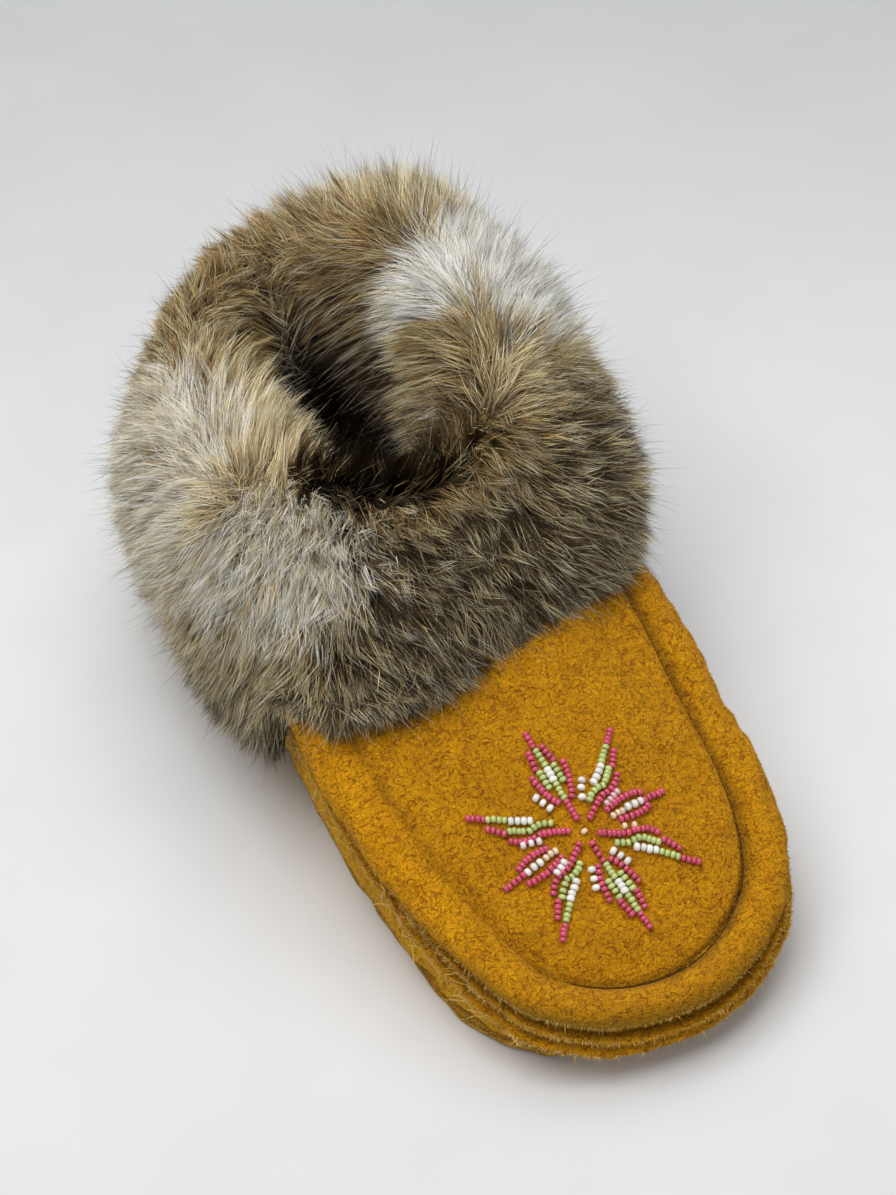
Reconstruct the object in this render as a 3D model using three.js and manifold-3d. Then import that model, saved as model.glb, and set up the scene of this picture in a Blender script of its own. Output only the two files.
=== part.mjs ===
// Beaded moccasin slipper for the right foot: a soft suede upper with a stuffed roll round its
// vamp, a thin suede sole, a folded fur cuff at the collar and a beaded star on the vamp.
// Millimetres. +X runs from heel to toe, +Y to the big-toe side and +Z up.
import * as THREE from "three";
import { mergeVertices } from "three/addons/utils/BufferGeometryUtils.js";
import Module from "manifold-3d";

const wasm = await Module();
wasm.setup();

// Driving dimensions
const SOLE_LENGTH = 245;
const SOLE_THICKNESS = 3;
const SOLE_EDGE = 1.6; // the sole's raw edge past the foot of the wall
const INSOLE_THICKNESS = 3;
const INSOLE_INSET = 3; // the insole's edge behind the foot of the wall's outside
const TOE_SPRING = { rise: 3, start: 0.84 }; // start is a share of the sole's length
const ARCH = { rise: 2.2, middle: 0.43, reach: 0.13, outside: -10, inside: 35 };
const TOE_SWING = 0.5; // how far the toe turns towards the other foot
const HEEL_SWING = { side: 6, end: 0.65 };
const WALL = 2; // suede and lining together
const GAP = 0.3; // between neighbouring pieces
const COLLAR = { x: 65, y: 6, halfLength: 57, halfWidth: 37, back: 74, side: 66, front: 71 };
const VAMP = { thickness: 1.2, crown: 3, edge: 0.8, end: 0.72 };
const ROLL = { rise: 4.9, overhang: 3, fullness: 0.75 };
const WELT = { below: 1.2, height: 5, rise: 2.6 };
const CUFF_LINING = { flare: 1, below: 4, above: 8, lipOut: 3, lipBelow: 5, tuck: 2 };
const CUFF_SHOULDER = 11; // below the crest
const CUFF_HEM = { width: 9, drop: 1, seat: 3 };
const CUFF_ROOM = 0.5; // round the pieces under the cuff
const LOCK = { length: 24, width: 8, thickness: 5, hollow: 0.4 };
const LOCK_SCATTER = { round: 0.3, along: 0.025 };
const STAR = { x: 203, y: -2.9 };
const BEADS = { height: 1.8, edge: 0.75, stem: 4, barHalf: 1, centre: 1.4 };
const LEAF = { swell: 1.2, tip: 0.2 }; // where a petal is widest, and its ends' share of that
const ROUND_TIP = 0.35; // the ends' share of a bar's width

// Half-widths of the foot of the wall, by share of the sole's length from the heel
const FOOT_LINE = [
  { at: 0.06, lateral: 23, medial: 23 },
  { at: 0.15, lateral: 31, medial: 31 },
  { at: 0.3, lateral: 35, medial: 34 },
  { at: 0.45, lateral: 40, medial: 38.5 },
  { at: 0.6, lateral: 44, medial: 46.8 },
  { at: 0.75, lateral: 45.4, medial: 44.3 },
  { at: 0.87, lateral: 43.6, medial: 40.5 },
  { at: 0.95, lateral: 33.2, medial: 29.8 },
];

// Heights of the wall's top and of the vamp seam, how far out from the foot of the wall they
// lie, and the wall's bulge between
const WALL_LINE = [
  { at: 0, wallTop: 46, seamTop: 58, wallOut: -1, seamOut: -4, belly: 5 },
  { at: 0.25, wallTop: 44, seamTop: 55, wallOut: 0, seamOut: -2, belly: 5.5 },
  { at: 0.45, wallTop: 47, seamTop: 58, wallOut: 2.5, seamOut: -3, belly: 5.5 },
  { at: 0.56, wallTop: 46, seamTop: 57.5, wallOut: 4, seamOut: -4, belly: 5 },
  { at: 0.65, wallTop: 38.8, seamTop: 50.5, wallOut: 4, seamOut: -4, belly: 5 },
  { at: 0.82, wallTop: 25.2, seamTop: 34, wallOut: 4, seamOut: -4, belly: 5 },
  { at: 1, wallTop: 15, seamTop: 19.5, wallOut: 3.5, seamOut: -4, belly: 3.2 },
];

// How far the groove under the roll and the vamp seam are drawn in on the little-toe side, by
// degrees from the toe
const LATERAL_TUCK = [
  { angle: 0, groove: 0, seam: 0 },
  { angle: 15, groove: 0.5, seam: 0.5 },
  { angle: 25, groove: 2.2, seam: 2.2 },
  { angle: 33, groove: 4.3, seam: 4 },
  { angle: 45, groove: 5.8, seam: 4.2 },
  { angle: 55, groove: 4.2, seam: 0.8 },
  { angle: 67, groove: 1, seam: -2 },
  { angle: 80, groove: 0, seam: -2.5 },
  { angle: 95, groove: 0, seam: 0 },
];

// The cuff by angle round the collar, from the toe towards the big-toe side: heights of its
// crest, bulge and hem, how far the crest lies out and the fur inside from the collar's edge,
// and the others' radii
const CUFF = [
  { angle: 0, crest: 96, out: 1, inside: 9.5, shoulder: 71, belly: 85, bellyTop: 74, hem: 88, hemTop: 54 },
  { angle: 32, crest: 105, out: 4, inside: 10.5, shoulder: 71, belly: 87, bellyTop: 74, hem: 87, hemTop: 52 },
  { angle: 60, crest: 111, out: 5, inside: 13, shoulder: 62, belly: 77, bellyTop: 66, hem: 69, hemTop: 32 },
  { angle: 90, crest: 114, out: 6, inside: 14, shoulder: 59, belly: 68, bellyTop: 64, hem: 56, hemTop: 27 },
  { angle: 135, crest: 112, out: 5, inside: 13, shoulder: 64, belly: 73, bellyTop: 62, hem: 61, hemTop: 26 },
  { angle: 180, crest: 101, out: 4, inside: 11, shoulder: 72, belly: 79, bellyTop: 57, hem: 72, hemTop: 27 },
  { angle: 225, crest: 92, out: 6, inside: 13, shoulder: 63, belly: 70, bellyTop: 54, hem: 62, hemTop: 25 },
  { angle: 270, crest: 88, out: 8, inside: 14, shoulder: 59, belly: 67, bellyTop: 52, hem: 59, hemTop: 23 },
  { angle: 300, crest: 90, out: 7, inside: 13, shoulder: 67, belly: 78, bellyTop: 54, hem: 73, hemTop: 25 },
  { angle: 330, crest: 93, out: 3, inside: 10, shoulder: 76, belly: 98, bellyTop: 62, hem: 99, hemTop: 45 },
];

// Rings of fur locks: place along the cuff's profile (0 at the inner edge, 1 at the hem), count,
// lean off the surface and size
const LOCK_RINGS = [
  { place: 0.43, count: 11, lean: 0.3, size: 0.8 },
  { place: 0.56, count: 12, lean: 0.22, size: 0.95 },
  { place: 0.7, count: 13, lean: 0.2, size: 1 },
  { place: 0.84, count: 14, lean: 0.18, size: 1 },
];

// Sections of a lock: place along its length, and shares of its width and thickness
const LOCK_SECTIONS = [
  { at: -0.3, width: 0.7, thickness: 1 },
  { at: 0.35, width: 1, thickness: 0.8 },
  { at: 1, width: 0.06, thickness: 0.1 },
];

// The welt's ridge: place from its upper edge to its lower one, and share of its rise
const WELT_RIDGE = [
  { place: 0.25, rise: 0.8 },
  { place: 0.75, rise: 1 },
];

// Petals of the star: direction from its middle in degrees, length, and half-widths on the side
// of growing angles and on the other
const PETALS = [
  { angle: 182, length: 26.8, left: 4.2, right: 4.2 },
  { angle: 135, length: 27.5, left: 1.6, right: 4.2 },
  { angle: 93, length: 23.7, left: 2.8, right: 2.8 },
  { angle: 53, length: 28.8, left: 4.2, right: 1.6 },
  { angle: 6, length: 26.3, left: 4.2, right: 4.2 },
  { angle: 317, length: 27.1, left: 1.6, right: 4.2 },
  { angle: 277, length: 24.8, left: 2.8, right: 2.8 },
  { angle: 237, length: 29.1, left: 4.2, right: 1.6 },
];

// Short bars of white beads between the petals
const BARS = [
  { angle: 152, start: 7.4, end: 13.7 },
  { angle: 114, start: 8.7, end: 15 },
  { angle: 74, start: 9.6, end: 14.2 },
  { angle: 31, start: 7.2, end: 13.2 },
  { angle: 341, start: 8, end: 14.8 },
  { angle: 297, start: 8.9, end: 13.6 },
  { angle: 257, start: 10.8, end: 16.8 },
  { angle: 210, start: 8.9, end: 14.6 },
];

// Numbers of columns and rows in the meshes
const UPPER_COLUMNS = 72;
const UPPER_LEVELS = [0, 0.2, 0.4, 0.6, 0.8, 1, 2, 2.2, 2.45, 2.72, 3];
const SEAM_COLUMNS = 17; // each way from the toe, to an end under the cuff
const SOLE_STEPS = 24;
const SOLE_ACROSS = [0, 0.25, 0.5, 0.75, 1];
const SOLE_TIP = 0.06; // turn from the very end to the first section
const VAMP_ROWS = 3;
const ROLL_POINTS = 7;
const WELT_POINTS = 4;
const CUFF_COLUMNS = 36;
const CUFF_POINTS = 11;
const BEAD_ROWS = { petal: 5, bar: 3, centre: 4 };

const SUEDE = { color: 0xb9780f, roughness: 0.95, metalness: 0 };
const SUEDE_EDGE = { color: 0xc9a45a, roughness: 0.95, metalness: 0 };
const FLEECE = { color: 0x8c8069, roughness: 1, metalness: 0 };
const FUR = { color: 0x8f7d63, roughness: 0.9, metalness: 0 };
const PINK_BEADS = { color: 0xcf4f6e, roughness: 0.35, metalness: 0 };
const WHITE_BEADS = { color: 0xf1ece2, roughness: 0.35, metalness: 0 };

const COLUMN = (2 * Math.PI) / UPPER_COLUMNS;
const SEAM_REACH = SEAM_COLUMNS * COLUMN;

const point = (x, y, z) => new THREE.Vector3(x, y, z);
const radians = THREE.MathUtils.degToRad;
const { clamp, smoothstep } = THREE.MathUtils;

// Value of a table's column on the smooth curve through its rows, level beyond the ends
function along(table, key, column, value) {
  const last = table.length - 1;
  const wanted = clamp(value, table[0][key], table[last][key]);
  const next = table.findIndex((row) => row[key] >= wanted);
  const i = Math.max(next - 1, 0);
  const slope = (j) => {
    const before = table[Math.max(j - 1, 0)];
    const after = table[Math.min(j + 1, last)];
    return (after[column] - before[column]) / (after[key] - before[key]);
  };
  const span = table[i + 1][key] - table[i][key];
  const share = (wanted - table[i][key]) / span;
  const rise = table[i + 1][column] - table[i][column];
  const leaving = (1 - share) * (slope(i) * span - rise);
  const arriving = share * (slope(i + 1) * span - rise);
  return table[i][column] + rise * share + share * (1 - share) * (leaving - arriving);
}

// Foot line: the closed outline of the wall's foot

// A width divided by that of an oval of the same length, so that heel and toe close roundly
const FULLNESS = FOOT_LINE.map(({ at, lateral, medial }) => {
  const oval = 2 * Math.sqrt(at * (1 - at));
  return { at, lateral: lateral / oval, medial: medial / oval };
});

// Turn 0 is the heel and pi the toe, by way of the little-toe side
function footPoint(turn) {
  const at = (1 - Math.cos(turn)) / 2;
  const side = Math.sin(turn) >= 0 ? "lateral" : "medial";
  const heelwards = Math.max(1 - at / HEEL_SWING.end, 0);
  const middle = TOE_SWING * at ** 2 + HEEL_SWING.side * heelwards ** 1.5;
  const y = middle - along(FULLNESS, "at", side, at) * Math.sin(turn);
  return point(SOLE_LENGTH * at, y, 0);
}

function footNormal(turn) {
  const step = 1e-3;
  const way = footPoint(turn + step).sub(footPoint(turn - step));
  return point(way.y, -way.x, 0).normalize();
}

// Height of the sole's underside over the floor
function soleLift(x, y) {
  const at = x / SOLE_LENGTH;
  const toe = TOE_SPRING.rise * smoothstep(at, TOE_SPRING.start, 1);
  const waist = 1 - smoothstep(Math.abs(at - ARCH.middle), 0, ARCH.reach);
  return toe + ARCH.rise * waist * smoothstep(y, ARCH.outside, ARCH.inside);
}

// Upper: a surface over turn and level. Levels 0 to 1 are the wall, 1 to 2 the slope under the
// roll, and 2 to 3 the top, from the vamp seam to the collar
function collarPoint(angle) {
  const ahead = Math.cos(angle);
  const aside = Math.sin(angle);
  const radius = 1 / Math.hypot(ahead / COLLAR.halfLength, aside / COLLAR.halfWidth);
  const end = ahead > 0 ? COLLAR.front : COLLAR.back;
  const height = COLLAR.side + (end - COLLAR.side) * ahead ** 2;
  return point(COLLAR.x + radius * ahead, COLLAR.y + radius * aside, height);
}

function collarAngle(spot) {
  return Math.atan2(spot.y - COLLAR.y, spot.x - COLLAR.x);
}

function upperPoint(turn, level) {
  const foot = footPoint(turn);
  const at = clamp(foot.x / SOLE_LENGTH, 0, 1);
  const value = (column) => along(WALL_LINE, "at", column, at);
  const wall = clamp(level, 0, 1);
  const slope = clamp(level - 1, 0, 1);
  const top = clamp(level - 2, 0, 1);
  const base = soleLift(foot.x, foot.y) + SOLE_THICKNESS + GAP;
  const tuck = (column) => along(LATERAL_TUCK, "angle", column, THREE.MathUtils.radToDeg(Math.PI - turn));
  const grooveOut = value("wallOut") - tuck("groove");
  const seamOut = value("seamOut") - tuck("seam");
  const bulge = grooveOut * wall + value("belly") * Math.sin(Math.PI * wall);
  const out = bulge + (seamOut - grooveOut) * slope;
  const rise = (value("wallTop") - base) * wall + (value("seamTop") - value("wallTop")) * slope;
  const spot = foot.clone().addScaledVector(footNormal(turn), out);
  spot.z = base + rise;
  const angle = collarAngle(foot);
  spot.lerp(collarPoint(angle), top);
  spot.z += VAMP.crown * Math.sin(Math.PI * top) * Math.max(Math.cos(angle), 0);
  return spot;
}

function upperNormal(turn, level) {
  const step = 1e-3;
  const round = upperPoint(turn + step, level).sub(upperPoint(turn - step, level));
  const up = upperPoint(turn, Math.min(level + step, 3)).sub(upperPoint(turn, Math.max(level - step, 0)));
  return round.cross(up).normalize();
}

// A point off the upper's outside. At the foot of the wall it moves level, so that the edge
// stays flat, and inside the collar it stays below the rim
function offUpper(turn, level, distance) {
  const outside = upperPoint(turn, level);
  const normal = level > 0 ? upperNormal(turn, level) : footNormal(turn);
  const spot = outside.clone().addScaledVector(normal, distance);
  if (level === 3) spot.z = Math.min(spot.z, outside.z);
  return spot;
}

// Length of the run over the vamp from its seam to the collar
function vampRun(turn) {
  return upperPoint(turn, 2).distanceTo(upperPoint(turn, 3));
}

// Turn and level of the vamp over a point of the plan
function onVamp(x, y) {
  let low = Math.PI - SEAM_REACH;
  let high = Math.PI + SEAM_REACH;
  for (let i = 0; i < 40; i += 1) {
    const middle = (low + high) / 2;
    const seam = upperPoint(middle, 2);
    const run = upperPoint(middle, 3).sub(seam);
    const lateral = run.x * (y - seam.y) - run.y * (x - seam.x) > 0;
    if (lateral) high = middle;
    else low = middle;
  }
  const seam = upperPoint(low, 2);
  const run = upperPoint(low, 3).sub(seam).setZ(0);
  const share = point(x, y, 0).sub(seam.setZ(0)).dot(run) / run.lengthSq();
  return { turn: low, level: 2 + share };
}

// Solids from grids and rings of points

// One closed body, turned so that its faces point out
function body(vertices, faces) {
  const geometry = new THREE.BufferGeometry();
  const numbers = vertices.flatMap((spot) => spot.toArray());
  geometry.setAttribute("position", new THREE.Float32BufferAttribute(numbers, 3));
  const volume = faces.reduce((sum, [a, b, c]) => {
    return sum + vertices[a].dot(vertices[b].clone().cross(vertices[c]));
  }, 0);
  const outward = volume > 0 ? faces : faces.map(([a, b, c]) => [a, c, b]);
  geometry.setIndex(outward.flat());
  return geometry;
}

// Rings of points joined side by side, closed round or capped at both ends
function loft(rings, closedRound) {
  const size = rings[0].length;
  const vertices = rings.flat();
  const faces = [];
  const joins = closedRound ? rings.length : rings.length - 1;
  for (let i = 0; i < joins; i += 1) {
    const here = i * size;
    const there = ((i + 1) % rings.length) * size;
    for (let j = 0; j < size; j += 1) {
      const k = (j + 1) % size;
      faces.push([here + j, there + j, there + k], [here + j, there + k, here + k]);
    }
  }
  if (!closedRound) {
    const cap = (ring, first, turned) => {
      const middle = ring.reduce((sum, v) => sum.add(v), point(0, 0, 0)).divideScalar(size);
      const centre = vertices.push(middle) - 1;
      for (let j = 0; j < size; j += 1) {
        const k = (j + 1) % size;
        faces.push(turned ? [centre, first + k, first + j] : [centre, first + j, first + k]);
      }
    };
    cap(rings[0], 0, false);
    cap(rings[rings.length - 1], (rings.length - 1) * size, true);
  }
  return body(vertices, faces);
}

// A slab between two grids of the same rows and columns
function slab(over, under) {
  const rings = over.map((row, i) => [...row, ...under[i].slice().reverse()]);
  return loft(rings, false);
}

function solid(geometry) {
  const merged = mergeVertices(geometry, 1e-4);
  const vertProperties = new Float32Array(merged.attributes.position.array);
  const triVerts = new Uint32Array(merged.index.array);
  return new wasm.Manifold(new wasm.Mesh({ numProp: 3, vertProperties, triVerts }));
}

function shapeOf(manifold) {
  const mesh = manifold.getMesh();
  const geometry = new THREE.BufferGeometry();
  geometry.setAttribute("position", new THREE.Float32BufferAttribute(mesh.vertProperties, 3));
  geometry.setIndex([...mesh.triVerts]);
  return geometry;
}

const steps = (from, to, count) => {
  return Array.from({ length: count + 1 }, (_, i) => from + ((to - from) * i) / count);
};

// Sole and insole: sections across the foot from heel to toe
function plate(outset, bottom, top) {
  const sections = steps(SOLE_TIP, Math.PI - SOLE_TIP, SOLE_STEPS).map((turn) => {
    const edge = (t) => footPoint(t).addScaledVector(footNormal(t), outset);
    const lateral = edge(turn);
    const medial = edge(2 * Math.PI - turn);
    return SOLE_ACROSS.map((share) => lateral.clone().lerp(medial, share));
  });
  const raised = (height) => sections.map((row) => {
    return row.map(({ x, y }) => point(x, y, soleLift(x, y) + height));
  });
  return slab(raised(top), raised(bottom));
}

// Upper: one wall with its outside and inside, open at the collar and underneath
function upperShape() {
  const turns = steps(0, 2 * Math.PI, UPPER_COLUMNS).slice(0, -1);
  const rings = turns.map((turn) => {
    const outside = UPPER_LEVELS.map((level) => offUpper(turn, level, 0));
    const inside = UPPER_LEVELS.map((level) => offUpper(turn, level, -WALL));
    return [...outside, ...inside.reverse()];
  });
  return loft(rings, true);
}

// The upper's outside as a filled form, with room round it for the vamp and the gaps
function upperForm() {
  const turns = steps(0, 2 * Math.PI, UPPER_COLUMNS).slice(0, -1);
  const room = (turn, level) => {
    const underVamp = level >= 2 && Math.abs(turn - Math.PI) < SEAM_REACH + COLUMN / 2;
    return CUFF_ROOM + (underVamp ? VAMP.thickness + GAP : 0);
  };
  const rings = UPPER_LEVELS.map((level) => turns.map((turn) => offUpper(turn, level, room(turn, level))));
  const lid = rings[rings.length - 1].map((spot) => spot.clone().setZ(spot.z + CUFF_ROOM));
  return loft([...rings, lid], false);
}

// Height off the upper for what lies on the vamp
const vampTop = 2 * GAP + VAMP.thickness;

// Turns of the seam from end to end, on the upper's own columns. A grown form is longer too
function seamTurns(grown) {
  const columns = SEAM_COLUMNS + Math.sign(grown);
  return steps(Math.PI - columns * COLUMN, Math.PI + columns * COLUMN, 2 * columns);
}

// Vamp: a panel over the upper's top, from inside the roll to under the cuff
function vampShape() {
  const rows = (distance) => seamTurns(0).map((turn) => {
    const edge = VAMP.edge / vampRun(turn);
    return steps(edge, VAMP.end, VAMP_ROWS).map((share) => offUpper(turn, 2 + share, distance));
  });
  return slab(rows(GAP + VAMP.thickness), rows(GAP));
}

// Roll: a stuffed tube on the slope between the wall's top and the vamp seam
function rollShape(grown) {
  const angles = steps(0, Math.PI, ROLL_POINTS);
  const sections = seamTurns(grown).map((turn) => {
    const seam = offUpper(turn, 2, 2 * GAP - grown);
    const groove = offUpper(turn, 1, 2 * GAP - grown);
    const middle = seam.clone().lerp(groove, 0.5);
    const across = groove.clone().sub(middle);
    const bulge = upperNormal(turn, 1.5).multiplyScalar(ROLL.rise + grown);
    bulge.addScaledVector(footNormal(turn), ROLL.overhang + grown);
    return angles.map((angle) => {
      const spot = middle.clone().addScaledVector(across, Math.cos(angle) * (1 + grown / across.length()));
      return spot.addScaledVector(bulge, Math.sin(angle) ** ROLL.fullness);
    });
  });
  return loft(sections, false);
}

// Welt: the raw-edged ridge of the seam under the roll
function weltShape(grown) {
  const sections = seamTurns(grown).map((turn) => {
    const wallHeight = upperPoint(turn, 1).z - upperPoint(turn, 0).z;
    const level = (below) => 1 - below / wallHeight;
    const over = level(WELT.below - grown);
    const under = level(WELT.below + WELT.height + grown);
    const spot = (share, distance) => offUpper(turn, over + (under - over) * share, distance);
    const ridge = WELT_RIDGE.map(({ place, rise }) => spot(place, rise * (WELT.rise + grown)));
    const seat = steps(1, 0, WELT_POINTS).map((share) => spot(share, GAP - grown));
    return [...ridge, ...seat];
  });
  return loft(sections, false);
}

// Fur cuff
const CUFF_ROUND = [
  ...CUFF.slice(-2).map((row) => ({ ...row, angle: row.angle - 360 })),
  ...CUFF,
  ...CUFF.slice(0, 2).map((row) => ({ ...row, angle: row.angle + 360 })),
];

// The cuff's outline at an angle, as a curve of radius and height from the inner edge to the hem
function cuffProfile(degrees) {
  const value = (column) => along(CUFF_ROUND, "angle", column, degrees);
  const rim = collarPoint(radians(degrees));
  const collar = Math.hypot(rim.x - COLLAR.x, rim.y - COLLAR.y);
  const inside = collar - value("inside");
  return new THREE.SplineCurve([
    new THREE.Vector2(inside + CUFF_LINING.flare, rim.z - CUFF_LINING.below),
    new THREE.Vector2(inside, rim.z + CUFF_LINING.above),
    new THREE.Vector2(inside + CUFF_LINING.lipOut, value("crest") - CUFF_LINING.lipBelow),
    new THREE.Vector2(collar + value("out"), value("crest")),
    new THREE.Vector2(value("shoulder"), value("crest") - CUFF_SHOULDER),
    new THREE.Vector2(value("belly"), value("bellyTop")),
    new THREE.Vector2(value("hem"), value("hemTop")),
  ]);
}

function cuffSpot(degrees, { x: radius, y: height }) {
  const angle = radians(degrees);
  return point(COLLAR.x + radius * Math.cos(angle), COLLAR.y + radius * Math.sin(angle), height);
}

function cuffBody() {
  const rings = steps(0, 360, CUFF_COLUMNS).slice(0, -1).map((degrees) => {
    const profile = cuffProfile(degrees).getPoints(CUFF_POINTS - 1);
    const hem = profile[profile.length - 1];
    const rim = profile[0];
    const underHem = new THREE.Vector2(hem.x - CUFF_HEM.width, hem.y - CUFF_HEM.drop);
    const seat = Math.min(hem.y + CUFF_HEM.seat, rim.y - CUFF_LINING.below);
    const withinWall = new THREE.Vector2(rim.x - CUFF_LINING.tuck, seat);
    return [...profile, underHem, withinWall].map((spot) => cuffSpot(degrees, spot));
  });
  return loft(rings, true);
}

// A repeatable scatter between -1 and 1
const scatter = (seed) => 2 * THREE.MathUtils.euclideanModulo(Math.sin(seed * 12.9898) * 43758.5453, 1) - 1;

// One lock: a flat taper, rooted inside the cuff and lying along its surface, tip outwards
function lockShape(degrees, place, lean, size) {
  const profile = cuffProfile(degrees);
  const step = 0.02;
  const root = cuffSpot(degrees, profile.getPointAt(place));
  const ahead = cuffSpot(degrees, profile.getPointAt(Math.min(place + step, 1)));
  const behind = cuffSpot(degrees, profile.getPointAt(place - step));
  const down = ahead.sub(behind).normalize();
  const side = cuffSpot(degrees + 1, profile.getPointAt(place)).sub(root).normalize();
  const out = down.clone().cross(side).normalize();
  const way = down.clone().multiplyScalar(1 - lean).addScaledVector(out, lean).normalize();
  const rings = LOCK_SECTIONS.map(({ at, width, thickness }) => [-1, 0, 1].map((aside) => {
    const ridge = aside === 0 ? 1 : -LOCK.hollow;
    const spot = root.clone().addScaledVector(way, LOCK.length * size * at);
    spot.addScaledVector(side, aside * LOCK.width * size * width);
    return spot.addScaledVector(out, ridge * LOCK.thickness * thickness);
  }));
  return loft(rings, false);
}

function cuffShape() {
  let cuff = solid(cuffBody());
  LOCK_RINGS.forEach(({ place, count, lean, size }, row) => {
    for (let i = 0; i < count; i += 1) {
      const seed = 100 * row + i;
      const staggered = i + 0.5 * (row % 2) + LOCK_SCATTER.round * scatter(seed);
      const degrees = THREE.MathUtils.euclideanModulo((360 * staggered) / count, 360);
      const rooted = place + LOCK_SCATTER.along * scatter(seed + 50);
      cuff = cuff.add(solid(lockShape(degrees, rooted, lean, size)));
    }
  });
  return shapeOf(
    cuff
      .subtract(solid(upperForm()))
      .subtract(solid(rollShape(CUFF_ROOM)))
      .subtract(solid(weltShape(CUFF_ROOM))),
  );
}

// Beadwork: low pads that follow the vamp

// A pad along a direction of the star, with its half-width given by share of its length and side
function bead(angle, start, end, rows, halfWidth) {
  const ahead = point(Math.cos(radians(angle)), Math.sin(radians(angle)), 0);
  const aside = point(-ahead.y, ahead.x, 0);
  const across = [-1, 0, 1];
  const grid = (height) => steps(0, 1, rows).map((share) => across.map((place) => {
    const spot = point(STAR.x, STAR.y, 0).addScaledVector(ahead, start + (end - start) * share);
    spot.addScaledVector(aside, place * halfWidth(share, place));
    const { turn, level } = onVamp(spot.x, spot.y);
    const rounded = place === 0 ? height : height * BEADS.edge;
    return offUpper(turn, level, vampTop + rounded);
  }));
  return slab(grid(BEADS.height), grid(0));
}

const leaf = (left, right) => (share, place) => {
  return (place > 0 ? left : right) * Math.max(Math.sin(Math.PI * share ** LEAF.swell), LEAF.tip);
};
const round = (half) => (share) => half * Math.sqrt(Math.max(Math.sin(Math.PI * share), ROUND_TIP));

// The finished shoe
const shoe = new THREE.Group();

function add(name, geometry, finish) {
  const mesh = new THREE.Mesh(geometry, new THREE.MeshStandardMaterial(finish));
  mesh.name = name;
  shoe.add(mesh);
}

const insoleBase = SOLE_THICKNESS + 2 * GAP;
add("outsole", plate(SOLE_EDGE, 0, SOLE_THICKNESS), SUEDE_EDGE);
add("insole", plate(-INSOLE_INSET, insoleBase, insoleBase + INSOLE_THICKNESS), FLEECE);
add("upper", upperShape(), SUEDE);
add("vamp", vampShape(), SUEDE);
add("vamp_roll", rollShape(0), SUEDE);
add("seam_welt", weltShape(0), SUEDE);
add("fur_cuff", cuffShape(), FUR);
PETALS.forEach(({ angle, length, left, right }, i) => {
  const shape = bead(angle, BEADS.stem, length, BEAD_ROWS.petal, leaf(left, right));
  add(`petal_${i + 1}`, shape, PINK_BEADS);
});
BARS.forEach(({ angle, start, end }, i) => {
  const shape = bead(angle, start, end, BEAD_ROWS.bar, round(BEADS.barHalf));
  add(`bead_bar_${i + 1}`, shape, WHITE_BEADS);
});
const centreShape = bead(0, -BEADS.centre, BEADS.centre, BEAD_ROWS.centre, round(BEADS.centre));
add("centre_bead", centreShape, WHITE_BEADS);

// The origin is on the floor under the middle of the shoe's box
const box = new THREE.Box3().setFromObject(shoe);
const middle = box.getCenter(new THREE.Vector3());
shoe.position.set(-middle.x, -middle.y, -box.min.z);

export default shoe;
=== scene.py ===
"""Looks of the beaded moccasin: suede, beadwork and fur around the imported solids.

Shapes are worked out in millimetres in the shoe's own frame, where the foot line's heel is at
x = 0, +X runs to the toe, +Y to the big-toe side and +Z up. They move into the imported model's
frame, in metres, as each mesh is made.
"""
from types import SimpleNamespace as Sizes

import bpy
import numpy as np
from mathutils import Matrix, Vector
from mathutils.bvhtree import BVHTree


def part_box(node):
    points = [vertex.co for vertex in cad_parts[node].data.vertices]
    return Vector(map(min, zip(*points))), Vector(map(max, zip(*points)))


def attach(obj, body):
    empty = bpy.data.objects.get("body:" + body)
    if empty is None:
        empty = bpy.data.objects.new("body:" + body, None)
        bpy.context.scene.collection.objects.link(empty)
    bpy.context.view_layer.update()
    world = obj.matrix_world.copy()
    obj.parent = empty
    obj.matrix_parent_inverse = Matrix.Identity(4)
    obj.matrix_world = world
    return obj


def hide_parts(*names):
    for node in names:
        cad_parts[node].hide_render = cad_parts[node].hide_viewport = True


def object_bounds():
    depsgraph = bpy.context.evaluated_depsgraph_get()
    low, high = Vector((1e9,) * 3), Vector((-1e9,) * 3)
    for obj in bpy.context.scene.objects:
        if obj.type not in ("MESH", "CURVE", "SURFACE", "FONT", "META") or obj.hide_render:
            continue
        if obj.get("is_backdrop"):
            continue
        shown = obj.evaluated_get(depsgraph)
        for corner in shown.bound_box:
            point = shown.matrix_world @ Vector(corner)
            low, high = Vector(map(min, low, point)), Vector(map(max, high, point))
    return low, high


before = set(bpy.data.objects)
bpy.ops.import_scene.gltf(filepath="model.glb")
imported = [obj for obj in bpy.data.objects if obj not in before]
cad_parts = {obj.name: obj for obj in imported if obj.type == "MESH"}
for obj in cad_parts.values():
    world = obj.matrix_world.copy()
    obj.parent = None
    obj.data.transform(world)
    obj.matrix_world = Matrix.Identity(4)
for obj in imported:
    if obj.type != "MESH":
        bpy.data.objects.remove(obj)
cad_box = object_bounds()


# Sizes

def table(columns, *rows):
    """A short table as named columns."""
    return dict(zip(columns.split(), np.array(rows, float).T))


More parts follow.
